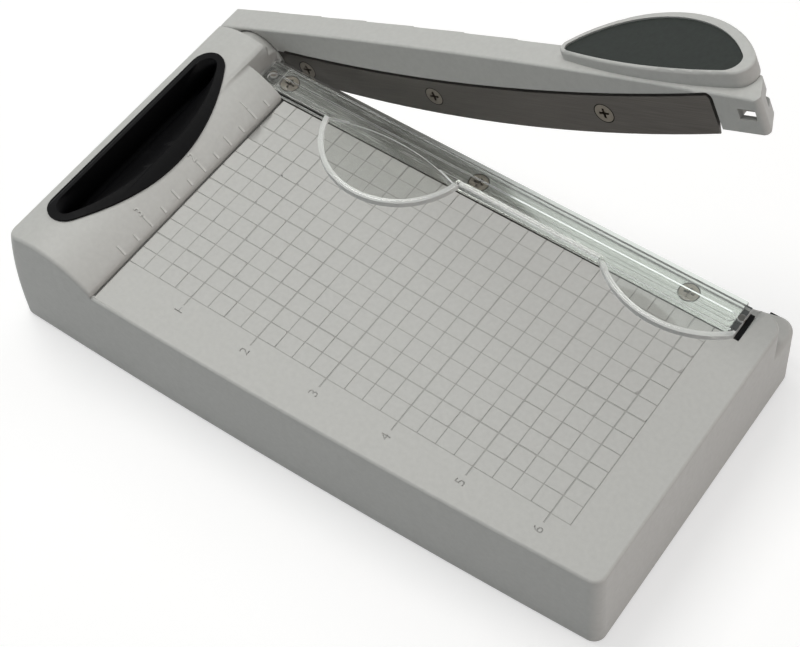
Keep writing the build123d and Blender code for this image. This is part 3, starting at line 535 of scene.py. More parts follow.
@dataclass(frozen=True)
class Finishes:
    """The finishes of the trimmer.

    Attributes:
        lever_turn: Angle of the arm, along which its steel is brushed.
    """

    lever_turn: float

    @property
    def shell(self) -> Finish:
        """Light warm grey plastic of the base and the arm."""
        return MouldedPlastic("moulded_shell", Slot.GREY_PLASTIC, (0.53, 0.53, 0.512), 0.5, gloss=0.35)

    @property
    def groove(self) -> Finish:
        """Floor of the grooves, painted darker as the shade inside them."""
        return MouldedPlastic("groove_painted_shade", Slot.GREY_PLASTIC, (0.40, 0.40, 0.384), 0.6, gloss=0.35)

    @property
    def rule(self) -> Finish:
        """Raised marks of the head, painted lighter than the shell as a highlight."""
        return MouldedPlastic("rule_painted_highlight", Slot.GREY_PLASTIC, (0.605, 0.605, 0.585), 0.45, gloss=0.35)

    @property
    def dark(self) -> Finish:
        """Dark plastic of the pieces under the base."""
        return MouldedPlastic("moulded_underside", Slot.DARK_PLASTIC, (0.10, 0.10, 0.10), 0.6)

    @property
    def black(self) -> Finish:
        """Black satin plastic of the carry grip and the keeper."""
        return MouldedPlastic("satin_black", Slot.BLACK_PLASTIC, (0.005, 0.005, 0.0055), 0.5, gloss=0.08, mottle=0.1)

    @property
    def bearing(self) -> Finish:
        """Smooth pale plastic of the thrust washer."""
        return MouldedPlastic("pale_bearing", Slot.BEARING_PLASTIC, (0.78, 0.78, 0.74), 0.4)

    @property
    def clear(self) -> Finish:
        """Clear plastic of the paper guard, its own faint tint darkened further as painted shade over the deck, since
        it casts no shadow.
        """
        return ClearPlastic("clear_body", Slot.CLEAR_PLASTIC, (0.80, 0.812, 0.792), 0.015)

    @property
    def rim(self) -> Finish:
        """Edges and rims of the paper guard, painted frosted white as highlights."""
        return ClearPlastic("rim_painted_highlight", Slot.CLEAR_PLASTIC, (0.98, 0.99, 0.985), 0.14, clarity=0.42)

    @property
    def soft(self) -> Finish:
        """Soft-touch pad of the handle."""
        return SoftRubber("soft_pad", Slot.SOFT_GRIP, (0.026, 0.031, 0.028), 0.6)

    @property
    def foot(self) -> Finish:
        """Rubber of the feet."""
        return SoftRubber("dull_foot", Slot.FOOT_RUBBER, (0.03, 0.03, 0.03), 0.75)

    @property
    def blade(self) -> Finish:
        """Dark ground steel of the moving blade."""
        colour = (0.134, 0.125, 0.118)
        return BrushedSteel("ground_blade", Slot.BLADE_STEEL, colour, 0.42, turn=self.lever_turn, streak=0.2)

    @property
    def strip(self) -> Finish:
        """Ground steel of the fixed blade."""
        return BrushedSteel("ground_strip", Slot.STRIP_STEEL, (0.53, 0.535, 0.52), 0.22, streak=0.06, scratch=0.15)

    @property
    def screw(self) -> Finish:
        """Plated steel of the screws and washers."""
        return TurnedMetal("plated_screw", Slot.SCREW_STEEL, (0.27, 0.243, 0.21), 0.34)

    @property
    def gap(self) -> Finish:
        """Painted shadow in the gaps around the screw heads and beside the fixed blade."""
        return TurnedMetal("painted_gap_shadow", Slot.SCREW_STEEL, (0.02, 0.018, 0.016), 0.5)

    @property
    def brass(self) -> Finish:
        """Turned brass of the pivot's bush."""
        return TurnedMetal("turned_brass", Slot.BUSH_BRASS, (0.60, 0.46, 0.20), 0.3)


# ---------------------------------------------------------------- meshes


def dress_nodes(finish: Finish, *names: str) -> None:
    """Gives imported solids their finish.

    Args:
        finish: Their finish.
        names: Names of the solids.
    """
    for name in names:
        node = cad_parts[name]
        node.data.materials.clear()
        node.data.materials.append(finish.material())
        log.info("dressed %s in %s", name, finish.name)


def placed(name: str, data: bpy.types.ID) -> Piece:
    """Object in the scene that shows a mesh, a text, a camera or a lamp.

    Args:
        name: Name of the object.
        data: What it shows.

    Returns:
        The object.
    """
    made = bpy.data.objects.new(name, data)
    bpy.context.scene.collection.objects.link(made)
    return made


def object_from(mesh: Mesh, name: str) -> Piece:
    """Object in the scene made from a mesh, which is freed.

    Args:
        mesh: Mesh in the row frame.
        name: Name of the object.

    Returns:
        The object.
    """
    data = bpy.data.meshes.new(name)
    mesh.to_mesh(data)
    mesh.free()
    return placed(name, data)


def solid_copy(name: str) -> Mesh:
    """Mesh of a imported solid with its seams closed.

    Args:
        name: Name of the solid.

    Returns:
        A mesh that can be cut and rounded.
    """
    mesh = bmesh.new()
    mesh.from_mesh(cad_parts[name].data)
    bmesh.ops.remove_doubles(mesh, verts=mesh.verts, dist=SEAM_WELD)
    return mesh


def smooth(piece: Piece) -> None:
    """Shades a piece smooth, with its flat faces kept flat and its sharp edges kept sharp.

    Args:
        piece: Piece to shade.
    """
    piece.data.shade_smooth()
    piece.data.set_sharp_from_angle(angle=SHARP_FROM)
    weighted = piece.modifiers.new("flat_faces", "WEIGHTED_NORMAL")
    weighted.keep_sharp = True
    weighted.weight = FLAT_FACE_WEIGHT


def open_coats(piece: Piece) -> None:
    """Gives a piece an empty place for each of two finishes, so that its faces can be marked.

    Args:
        piece: Piece to mark later.
    """
    piece.data.materials.clear()
    for _ in Coat:
        piece.data.materials.append(None)


def finish_piece(
    piece: Piece,
    finish: Finish,
    body: Body,
    replaced: Iterable[str] = (),
    second: Finish | None = None,
) -> None:
    """Gives a piece its finish and its place in the frame.

    Args:
        piece: Piece, already in place.
        finish: Its finish.
        body: Body that it moves with.
        replaced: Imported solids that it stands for.
        second: Finish of the faces that are marked for it, if any are.
    """
    marks = [face.material_index for face in piece.data.polygons]
    piece.data.materials.clear()
    piece.data.materials.append(finish.material())
    if second is not None:
        piece.data.materials.append(second.material())
        piece.data.polygons.foreach_set("material_index", marks)
    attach(piece, body.value)
    names = tuple(replaced)
    if names:
        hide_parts(*names)
    log.info("built %s in %s", piece.name, finish.name)


def let_light_through(piece: Piece) -> None:
    """Keeps a clear piece from shading what lies under it."""
    piece.visible_shadow = False
    piece.visible_diffuse = False


def settle(piece: Piece) -> None:
    """Turns a piece's modifiers into its mesh.

    Args:
        piece: Piece whose modifiers are done with.
    """
    graph = bpy.context.evaluated_depsgraph_get()
    done = bpy.data.meshes.new_from_object(piece.evaluated_get(graph))
    piece.modifiers.clear()
    before = piece.data
    piece.data = done
    bpy.data.meshes.remove(before)


def carve(piece: Piece, mesh: Mesh) -> None:
    """Cuts a closed mesh out of a piece.

    Args:
        piece: Piece to cut.
        mesh: Closed mesh that is cut out, and freed.
    """
    cutter = object_from(mesh, "cutter")
    cut = piece.modifiers.new("cut", "BOOLEAN")
    cut.operation = "DIFFERENCE"
    cut.solver = "EXACT"
    cut.object = cutter
    settle(piece)
    bpy.data.objects.remove(cutter)


def figure_mesh(text: str, height: float, half_depth: float) -> Mesh:
    """Solid figures, centred on the origin and lying in XY.

    Args:
        text: Figures to set.
        height: Height of a figure.
        half_depth: Half of the solid's thickness.

    Returns:
        A closed mesh.
    """
    cap_share = 0.73
    curve_steps = 6
    letters = bpy.data.curves.new("figure", "FONT")
    letters.body = text
    letters.size = height / cap_share
    letters.extrude = half_depth
    letters.resolution_u = curve_steps
    letters.align_x = "CENTER"
    letters.align_y = "CENTER"
    holder = placed("figure", letters)
    graph = bpy.context.evaluated_depsgraph_get()
    outline = bpy.data.meshes.new_from_object(holder.evaluated_get(graph))
    mesh = bmesh.new()
    mesh.from_mesh(outline)
    bmesh.ops.remove_doubles(mesh, verts=mesh.verts, dist=FIGURE_WELD)
    bpy.data.objects.remove(holder)
    bpy.data.curves.remove(letters)
    bpy.data.meshes.remove(outline)
    return mesh


def joined(meshes: Iterable[Mesh]) -> Mesh:
    """One mesh from several, which are freed.

    Args:
        meshes: Meshes to join.

    Returns:
        The joined mesh.
    """
    whole = bmesh.new()
    for mesh in meshes:
        data = bpy.data.meshes.new("joined")
        mesh.to_mesh(data)
        mesh.free()
        whole.from_mesh(data)
        bpy.data.meshes.remove(data)
    return whole


def skinned(rings: Sequence[Sequence[Vector]], closed: bool = False) -> Mesh:
    """Closed mesh through a row of rings, each with the same number of points.

    Args:
        rings: Points of each ring, in order.
        closed: True if the last ring joins on to the first, or else both ends are capped.

    Returns:
        The mesh.
    """
    mesh = bmesh.new()
    rows = [[mesh.verts.new(point) for point in ring] for ring in rings]
    for first, second in zip(rows, rows[1:] + rows[:1] if closed else rows[1:]):
        for corners in zip(first, first[1:] + first[:1], second[1:] + second[:1], second):
            mesh.faces.new(corners)
    if not closed:
        mesh.faces.new(rows[0])
        mesh.faces.new(rows[-1])
    bmesh.ops.recalc_face_normals(mesh, faces=mesh.faces)
    return mesh


def rounded_copy(node: str, name: str, radius: float, mark_edges: bool = False) -> Piece:
    """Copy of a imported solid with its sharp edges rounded.

    Args:
        node: Name of the solid.
        name: Name of the copy.
        radius: Radius of the edges.
        mark_edges: True if the rounded edges are marked for a second finish.

    Returns:
        The copy.
    """
    mesh = solid_copy(node)
    bmesh.ops.dissolve_limit(mesh, angle_limit=MERGED_BELOW, verts=mesh.verts, edges=mesh.edges)
    copy = object_from(mesh, name)
    edge = copy.modifiers.new("edge", "BEVEL")
    edge.width = radius
    edge.segments = ROUNDING_STEPS
    edge.limit_method = "ANGLE"
    edge.angle_limit = ROUNDED_FROM
    if mark_edges:
        edge.material = Coat.SECOND.value
        open_coats(copy)
    settle(copy)
    smooth(copy)
    return copy


def loose_parts(mesh: Mesh) -> list[list[Vector]]:
    """Points of each separate part of a mesh.

    Args:
        mesh: Mesh with its seams closed.

    Returns:
        One list of points for each part.
    """
    left = set(mesh.verts)
    parts = []
    while left:
        waiting = [left.pop()]
        points = []
        while waiting:
            vert = waiting.pop()
            points.append(vert.co.copy())
            for edge in vert.link_edges:
                other = edge.other_vert(vert)
                if other in left:
                    left.remove(other)
                    waiting.append(other)
        parts.append(points)
    return parts


@dataclass(frozen=True)
class ScrewGap:
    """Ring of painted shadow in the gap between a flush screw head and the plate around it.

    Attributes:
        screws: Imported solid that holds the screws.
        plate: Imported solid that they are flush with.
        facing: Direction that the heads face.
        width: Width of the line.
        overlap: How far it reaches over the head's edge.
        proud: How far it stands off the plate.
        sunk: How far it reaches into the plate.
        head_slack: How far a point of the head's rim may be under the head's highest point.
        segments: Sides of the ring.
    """

    screws: str
    plate: str
    facing: Vector
    width: float = 0.34 * MM
    overlap: float = 0.06 * MM
    proud: float = 0.01 * MM
    sunk: float = 0.1 * MM
    head_slack: float = 0.05 * MM
    segments: int = 48

    def surface(self) -> float:
        """Height of the plate along the direction that the heads face."""
        return max(corner.dot(self.facing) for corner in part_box(self.plate))

    def head(self, points: Sequence[Vector]) -> tuple[Vector, float]:
        """Finds a screw's head.

        Args:
            points: Points of the screw.

        Returns:
            The middle of the head's rim and its radius.
        """
        highest = max(point.dot(self.facing) for point in points)
        rim = [point for point in points if highest - point.dot(self.facing) < self.head_slack]
        low = Vector([min(point[axis] for point in rim) for axis in range(3)])
        high = Vector([max(point[axis] for point in rim) for axis in range(3)])
        return (low + high) / 2, max(high - low) / 2

    def ring(self, middle: Vector, radius: float) -> Mesh:
        """Thin ring around one head.

        Args:
            middle: Middle of the head.
            radius: Radius of the head.

        Returns:
            A closed mesh.
        """
        inner = radius - self.overlap
        outer = inner + self.width
        section = [(inner, -self.sunk), (outer, -self.sunk), (outer, self.proud), (inner, self.proud)]
        rings = []
        for step in range(self.segments):
            angle = math.tau * step / self.segments
            rings.append([Vector((r * math.cos(angle), r * math.sin(angle), z)) for r, z in section])
        mesh = skinned(rings, closed=True)
        place = middle + (self.surface() - middle.dot(self.facing)) * self.facing
        turn = UPWARD.rotation_difference(self.facing).to_matrix().to_4x4()
        mesh.transform(Matrix.Translation(place) @ turn)
        return mesh

    def build(self, name: str, finish: Finish, body: Body) -> None:
        """Lays a ring around every head.

        Args:
            name: Name of the piece.
            finish: Its finish.
            body: Body that it moves with.
        """
        screws = solid_copy(self.screws)
        rings = [self.ring(*self.head(points)) for points in loose_parts(screws)]
        screws.free()
        finish_piece(object_from(joined(rings), name), finish, body)


@dataclass(frozen=True)
class Groove:
    """One straight groove of a ruled grid.

    Attributes:
        place: Its middle, on the axis that it crosses.
        width: Its width.
        start: Where it starts, on the axis that it follows.
        end: Where it ends.
    """

    place: float
    width: float
    start: float
    end: float

    def edges(self) -> tuple[float, float]:
        """Its two sides, on the axis that it crosses."""
        return self.place - self.width / 2, self.place + self.width / 2

    def covers(self, across: float, along: float) -> bool:
        """True if the point lies in the groove."""
        return abs(across - self.place) < self.width / 2 and self.start < along < self.end


def grid_mesh(upright: Sequence[Groove], level: Sequence[Groove], low: float, high: float) -> Mesh:
    """Closed mesh that fills a grid of crossing grooves.

    Args:
        upright: Grooves that follow Y.
        level: Grooves that follow X.
        low: Z of the grooves' floor.
        high: Z of the mesh's top.

    Returns:
        The mesh, without inner walls where grooves cross.
    """
    xs = sorted({x for g in upright for x in g.edges()} | {x for g in level for x in (g.start, g.end)})
    ys = sorted({y for g in level for y in g.edges()} | {y for g in upright for y in (g.start, g.end)})
    filled = set()
    for column, (left, right) in enumerate(zip(xs, xs[1:])):
        for row, (near, far) in enumerate(zip(ys, ys[1:])):
            x, y = (left + right) / 2, (near + far) / 2
            if any(g.covers(x, y) for g in upright) or any(g.covers(y, x) for g in level):
                filled.add((column, row))
    mesh = bmesh.new()
    corners: dict[tuple[int, int, float], bmesh.types.BMVert] = {}

    def corner(column: int, row: int, z: float) -> bmesh.types.BMVert:
        """Corner of a cell, made once.

        Args:
            column: Number of the corner along X.
            row: Number of the corner along Y.
            z: Height of the corner.

        Returns:
            The corner's point in the mesh.
        """
        key = (column, row, z)
        if key not in corners:
            corners[key] = mesh.verts.new((xs[column], ys[row], z))
        return corners[key]

    for column, row in filled:
        ring = [(column, row), (column + 1, row), (column + 1, row + 1), (column, row + 1)]
        mesh.faces.new([corner(*place, high) for place in ring])
        mesh.faces.new([corner(*place, low) for place in reversed(ring)])
        beside = [(column, row - 1), (column + 1, row), (column, row + 1), (column - 1, row)]
        for first, second, neighbour in zip(ring, ring[1:] + ring[:1], beside):
            if neighbour not in filled:
                wall = [(*first, low), (*second, low), (*second, high), (*first, high)]
                mesh.faces.new([corner(*place) for place in wall])
    return mesh


# ---------------------------------------------------------------- sub-assemblies


@dataclass
class Deck:
    """Moulded base with its quarter-inch grid and the figures along its front.

    Attributes:
        layout: Shared places.
        finishes: Shared finishes.
        columns: Quarter inches from the fence to the last line.
        first_row: Quarter inches from the cutting plane to the first line in front of the guard.
        rows: Quarter inches from the cutting plane to the last line.
        line_width: Width of a quarter-inch or half-inch groove.
        inch_width: Width of an inch groove.
        groove_depth: Depth of every groove of the grid.
        fence_groove_width: Width of the groove along the fence's foot.
        fence_groove_depth: Depth of that groove.
        fence_length: Cutting plane to the front end of that groove.
        grid_start: Fence to the left end of the level lines.
        pocket_depth: Cutting plane to the front wall of the guard's pocket.
        inch_overshoot: How far the inch lines run on in front of the grid.
        figure_depth: Cutting plane to the middle of the figures.
        figure_height: Height of a figure.
        clear_over: How far the cutters stand out over the deck.
        level_lean: Upward lean from which a face counts as a groove's floor.
        floor_slack: How far a groove's floor may be from its depth.
    """

    layout: Layout
    finishes: Finishes
    columns: int = 25
    first_row: int = 3
    rows: int = 14
    line_width: float = 0.34 * MM
    inch_width: float = 0.5 * MM
    groove_depth: float = 0.16 * MM
    fence_groove_width: float = 1.0 * MM
    fence_groove_depth: float = 0.9 * MM
    fence_length: float = 104.6 * MM
    grid_start: float = 0.9 * MM
    pocket_depth: float = 13.2 * MM
    inch_overshoot: float = 3.4 * MM
    figure_depth: float = 94.8 * MM
    figure_height: float = 3.1 * MM
    clear_over: float = 0.6 * MM
    level_lean: float = 0.9
    floor_slack: float = 0.015 * MM

    def width(self, quarters: int) -> float:
        """Width of the groove this many quarter inches from the start."""
        return self.inch_width if Mark.of(quarters) is Mark.INCH else self.line_width

    def upright_grooves(self) -> list[Groove]:
        """Grooves that run from the guard to the front.

        Returns:
            One groove for each quarter inch.
        """
        far = self.layout.cutting_y - self.pocket_depth
        grooves = []
        for quarters in range(1, self.columns + 1):
            front = self.rows * QUARTER_INCH + (self.inch_overshoot if Mark.of(quarters) is Mark.INCH else 0.0)
            middle = self.layout.fence_x + quarters * QUARTER_INCH
            grooves.append(Groove(middle, self.width(quarters), self.layout.cutting_y - front, far))
        return grooves

    def level_grooves(self) -> list[Groove]:
        """Grooves that run along the deck.

        Returns:
            One groove for each quarter inch in front of the guard.
        """
        left = self.layout.fence_x + self.grid_start
        right = self.layout.fence_x + self.columns * QUARTER_INCH + self.line_width / 2
        grooves = []
        for quarters in range(self.first_row, self.rows + 1):
            middle = self.layout.cutting_y - quarters * QUARTER_INCH
            grooves.append(Groove(middle, self.width(quarters), left, right))
        return grooves

    def cutter(self, upright: Sequence[Groove], level: Sequence[Groove], depth: float) -> Mesh:
        """Cutter for grooves in the deck.

        Args:
            upright: Grooves that run from the guard to the front.
            level: Grooves that run along the deck.
            depth: Their depth.

        Returns:
            A closed mesh.
        """
        return grid_mesh(upright, level, self.layout.deck_z - depth, self.layout.deck_z + self.clear_over)

    def fence_groove(self) -> Groove:
        """Narrow groove along the fence's foot.

        Returns:
            The groove.
        """
        middle = self.layout.fence_x + self.fence_groove_width / 2
        near = self.layout.cutting_y - self.fence_length
        return Groove(middle, self.fence_groove_width, near, self.layout.cutting_y - self.pocket_depth)

    def figures(self) -> Mesh:
        """Cutter for the figures that count the inches along the front.

        Returns:
            One closed mesh for each figure, joined.
        """
        quarter_turn = Matrix.Rotation(math.pi / 2, 4, "Z")
        meshes = []
        for inches in range(1, self.columns // QUARTERS + 1):
            figure = figure_mesh(str(inches), self.figure_height, self.groove_depth)
            figure.transform(Matrix.Translation(self.layout.on_deck(inches * INCH, self.figure_depth)) @ quarter_turn)
            meshes.append(figure)
        return joined(meshes)

    def is_groove_floor(self, face: bpy.types.MeshPolygon) -> bool:
        """Tells the floors of the grooves and figures from the other faces of the base.

        Args:
            face: Face of the cut base.

        Returns:
            True if it is one of those floors.
        """
        if face.normal.z < self.level_lean:
            return False
        sunk = self.layout.deck_z - face.center.z
        along = face.center.x - self.layout.fence_x
        if 0.0 < along < self.fence_groove_width and abs(sunk - self.fence_groove_depth) < self.floor_slack:
            return True
        return abs(sunk - self.groove_depth) < self.floor_slack

    def build(self) -> None:
        """Cuts the grid and the figures into a copy of the base."""
        shell = object_from(solid_copy("base_shell"), "ruled_base")
        carve(shell, self.cutter(self.upright_grooves(), self.level_grooves(), self.groove_depth))
        carve(shell, self.cutter([self.fence_groove()], [], self.fence_groove_depth))
        carve(shell, self.figures())
        open_coats(shell)
        # Floors of the grooves and figures get the darker finish, which is painted shade.
        for face in shell.data.polygons:
            coat = Coat.SECOND if self.is_groove_floor(face) else Coat.FIRST
            face.material_index = coat.value
        smooth(shell)
        finish_piece(shell, self.finishes.shell, Body.BASE, ["base_shell"], self.finishes.groove)


@dataclass
class HeadRule:
    """Raised rule on the slope of the head, beside the fence.

    Attributes:
        layout: Shared places.
        finishes: Shared finishes.
        crown_back: Fence to the top of the head's arch.
        arch_radius: Radius of that arch.
        crown_height: Top of the arch over the deck.
        first_row: Quarter inches from the cutting plane to the first tick.
        rows: Quarter inches to the last tick.
        lengths: Length of each kind of tick, seen from above.
        start: Fence to the foot of each tick.
        width: Width of a tick.
        proud: How far ticks and figures stand off the head.
        sunk: How far they are rooted in it.
        steps: Steps in which a tick bends with the slope.
        figure_back: Fence to the middle of the figures.
        figure_height: Height of a figure, seen from above.
    """

    layout: Layout
    finishes: Finishes
    crown_back: float = 20.0 * MM
    arch_radius: float = 28.0 * MM
    crown_height: float = 10.4 * MM
    first_row: int = 3
    rows: int = 14
    lengths: dict[Mark, float] = field(
        default_factory=lambda: {Mark.QUARTER: 1.8 * MM, Mark.HALF: 2.7 * MM, Mark.INCH: 3.1 * MM}
    )
    start: float = 0.2 * MM
    width: float = 0.7 * MM
    proud: float = 0.3 * MM
    sunk: float = 0.12 * MM
    steps: int = 6
    figure_back: float = 4.9 * MM
    figure_height: float = 2.7 * MM

    def on_head(self, back: float, depth: float, rise: float) -> Vector:
        """Point over the head's slope.

        Args:
            back: Distance left of the fence.
            depth: Distance in front of the cutting plane.
            rise: Distance off the slope.

        Returns:
            The point in the row frame.
        """
        lean = (self.crown_back - back) / self.arch_radius
        radius = self.arch_radius + rise
        height = self.crown_height - self.arch_radius + radius * math.sqrt(1.0 - lean * lean)
        return self.layout.on_deck(-self.crown_back + lean * radius, depth, height)

    def tick(self, depth: float, length: float) -> Mesh:
        """One raised tick.

        Args:
            depth: Distance in front of the cutting plane.
            length: Length up the slope, seen from above.

        Returns:
            A closed mesh bent to the slope.
        """
        half = self.width / 2
        section = [(-half, -self.sunk), (-half, self.proud), (half, self.proud), (half, -self.sunk)]
        backs = [self.start + length * step / self.steps for step in range(self.steps + 1)]
        return skinned([[self.on_head(back, depth + aside, rise) for aside, rise in section] for back in backs])

    def figure(self, inches: int) -> Mesh:
        """One raised figure.

        Args:
            inches: Figure to set.

        Returns:
            A closed mesh bent to the slope.
        """
        half = (self.proud + self.sunk) / 2
        mesh = figure_mesh(str(inches), self.figure_height, half)
        for vert in mesh.verts:
            aside, up, rise = vert.co
            vert.co = self.on_head(self.figure_back + up, inches * INCH - aside, rise + half - self.sunk)
        return mesh

    def build(self) -> None:
        """Raises the ticks and figures on the head."""
        meshes = [
            self.tick(quarters * QUARTER_INCH, self.lengths[Mark.of(quarters)])
            for quarters in range(self.first_row, self.rows + 1)
        ]
        meshes.extend(self.figure(inches) for inches in range(1, self.rows // QUARTERS + 1))
        # The ticks and figures get a lighter finish than the shell, a painted highlight.
        finish_piece(object_from(joined(meshes), "head_rule"), self.finishes.rule, Body.BASE)


@dataclass(frozen=True)
class Lobe:
    """Middle line of the rim round one finger lobe of the guard.

    Attributes:
        along: Fence to the centre of its curve.
        depth: Cutting plane to that centre.
        radius: Radius of the line.
        last: Fence to where the line ends at the latest.
    """

    along: float
    depth: float
    radius: float
    last: float

    def line(self, depth: float, steps: int) -> list[Vector]:
        """Points of the line from the bar's front, round the lobe and back.

        Args:
            depth: Cutting plane to the rim along the bar's front.
            steps: Number of steps.

        Returns:
            The points, each as distance from the fence and depth from the cutting plane.
        """
        start = -math.acos((depth - self.depth) / self.radius)
        end = min(-start, math.asin(min(1.0, (self.last - self.along) / self.radius)))
        turns = [start + (end - start) * step / steps for step in range(steps + 1)]
        middle = Vector((self.along, self.depth))
        return [middle + self.radius * Vector((math.sin(turn), math.cos(turn))) for turn in turns]


@dataclass
class Guard:
    """Clear guard over the fixed blade, with its keeper and screws.

    Attributes:
        layout: Shared places.
        finishes: Shared finishes.
        rim: Radius of the polished edges.
        wall_lean: Upward lean below which a face counts as a wall, and gets the rims' painted highlight.
        straight_length: Length from which a wall is one of the long straight ones, which are clear.
        bar_width: Width of the straight bar, in front of which the lobes and their rims stand out.
        front_rim: Fence to the two ends of the bar's own rim, between the lobes.
        front_rim_width: Width of that rim.
        top_slack: How far a face of the top may be under the highest point.
        seam: Gap between the fixed blade and the deck in front of it.
        bead_width: Width of the dark strip of painted shadow that fills this gap.
        bead_top: How far that strip lies under the deck.
        bead_depth: How far down it reaches.
        lobes: The two finger lobes, from left to right.
        crown_depth: Cutting plane to the crown of the rim along the bar's front.
        crown_half: Half of the width of the rims' rounded crown.
        crown_height: Height of that crown.
        crown_sunk: How far it is rooted in the rim.
        crown_steps: Steps along each lobe.
        crown_sides: Sides of its rounded section.
    """

    layout: Layout
    finishes: Finishes
    rim: float = 0.5 * MM
    wall_lean: float = 0.5
    straight_length: float = 12.0 * MM
    bar_width: float = 9.6 * MM
    front_rim: tuple[float, float] = (68.8 * MM, 119.0 * MM)
    front_rim_width: float = 1.6 * MM
    top_slack: float = 0.05 * MM
    seam: float = 0.5 * MM
    bead_width: float = 0.44 * MM
    bead_top: float = 0.08 * MM
    bead_depth: float = 1.2 * MM
    lobes: tuple[Lobe, ...] = (
        Lobe(43.0 * MM, 5.9 * MM, 25.75 * MM, 80.0 * MM),
        Lobe(142.9 * MM, -10.7 * MM, 32.35 * MM, 164.6 * MM),
    )
    crown_depth: float = 11.55 * MM
    crown_half: float = 0.78 * MM
    crown_height: float = 0.5 * MM
    crown_sunk: float = 0.04 * MM
    crown_steps: int = 44
    crown_sides: int = 10

    def mark_rims(self, strip: Piece) -> None:
        """Marks the walls of the guard and the tops of its rims for the second finish, a painted highlight.

        Args:
            strip: The guard, with its edges rounded.
        """
        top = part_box("paper_guard")[1]
        bar_front = top.y - self.bar_width
        rim_back = bar_front + self.front_rim_width
        left, right = (self.layout.fence_x + along for along in self.front_rim)
        mesh = bmesh.new()
        mesh.from_mesh(strip.data)
        for place, facing in (
            ((0.0, bar_front, 0.0), (0.0, 1.0, 0.0)),
            ((0.0, rim_back, 0.0), (0.0, 1.0, 0.0)),
            ((left, 0.0, 0.0), (1.0, 0.0, 0.0)),
            ((right, 0.0, 0.0), (1.0, 0.0, 0.0)),
        ):
            parts = [*mesh.verts, *mesh.edges, *mesh.faces]
            bmesh.ops.bisect_plane(mesh, geom=parts, plane_co=place, plane_no=facing)
        for face in mesh.faces:
            along = [vert.co.x for vert in face.verts]
            middle = face.calc_center_median()
            short_wall = abs(face.normal.z) < self.wall_lean and max(along) - min(along) < self.straight_length
            on_rim = middle.y < bar_front or (middle.y < rim_back and left < middle.x < right)
            if short_wall or (on_rim and middle.z > top.z - self.top_slack):
                face.material_index = Coat.SECOND.value
        mesh.to_mesh(strip.data)
        mesh.free()

    def crown_section(self) -> list[tuple[float, float]]:
        """Rounded section of the rims' crown.

        Returns:
            Its points, each as distance aside of the rim's middle and height over the rim.
        """
        turns = [math.pi * side / self.crown_sides for side in range(self.crown_sides + 1)]
        arc = [(-self.crown_half * math.cos(turn), self.crown_height * math.sin(turn)) for turn in turns]
        return [(-self.crown_half, -self.crown_sunk), *arc, (self.crown_half, -self.crown_sunk)]

    def crown(self) -> Mesh:
        """Crown that rounds the rims, along both lobes and the bar's front between them.

        Returns:
            A closed mesh, mitred where the lobes meet the bar.
        """
        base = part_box("paper_guard")[1].z - self.layout.deck_z
        section = self.crown_section()
        line = [point for lobe in self.lobes for point in lobe.line(self.crown_depth, self.crown_steps)]
        ways = [(after - before).normalized() for before, after in zip(line, line[1:])]
        rings = []
        for point, before, after in zip(line, ways[:1] + ways, ways + ways[-1:]):
            aside = Vector((-before.y, before.x))
            across = aside + Vector((-after.y, after.x))
            across /= across.dot(aside)
            places = [(point + out * across, base + rise) for out, rise in section]
            rings.append([self.layout.on_deck(place.x, place.y, rise) for place, rise in places])
        return skinned(rings)

    def bead(self) -> Mesh:
        """Dark strip of painted shadow in the seam along the front of the fixed blade.

        Returns:
            A closed mesh.
        """
        low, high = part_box("fixed_blade")
        line = Groove(low.y - self.seam / 2, self.bead_width, low.x, high.x)
        return grid_mesh([], [line], high.z - self.bead_depth, high.z - self.bead_top)

    def build(self) -> None:
        """Builds the guard and dresses what holds it and what lies under it."""
        # Rounded edges, short walls and rim tops get the rims' finish, a painted highlight.
        strip = rounded_copy("paper_guard", "clear_guard", self.rim, mark_edges=True)
        self.mark_rims(strip)
        finish_piece(strip, self.finishes.clear, Body.BASE, ["paper_guard"], self.finishes.rim)
        let_light_through(strip)
        crown = object_from(self.crown(), "guard_rim_crown")
        smooth(crown)
        finish_piece(crown, self.finishes.clear, Body.BASE)
        let_light_through(crown)
        # A dark strip of painted shadow fills the seam in front of the fixed blade.
        finish_piece(object_from(self.bead(), "strip_seam_shadow"), self.finishes.gap, Body.BASE)
        # Rings of painted shadow lie in the gaps round the screw heads.
        seats = ScrewGap("fixed_blade_screws", "fixed_blade", UPWARD)
        seats.build("strip_screw_gaps", self.finishes.gap, Body.BASE)
        dress_nodes(self.finishes.strip, "fixed_blade")
        dress_nodes(self.finishes.screw, "fixed_blade_screws", "guard_screws")
        dress_nodes(self.finishes.black, "guard_keeper")


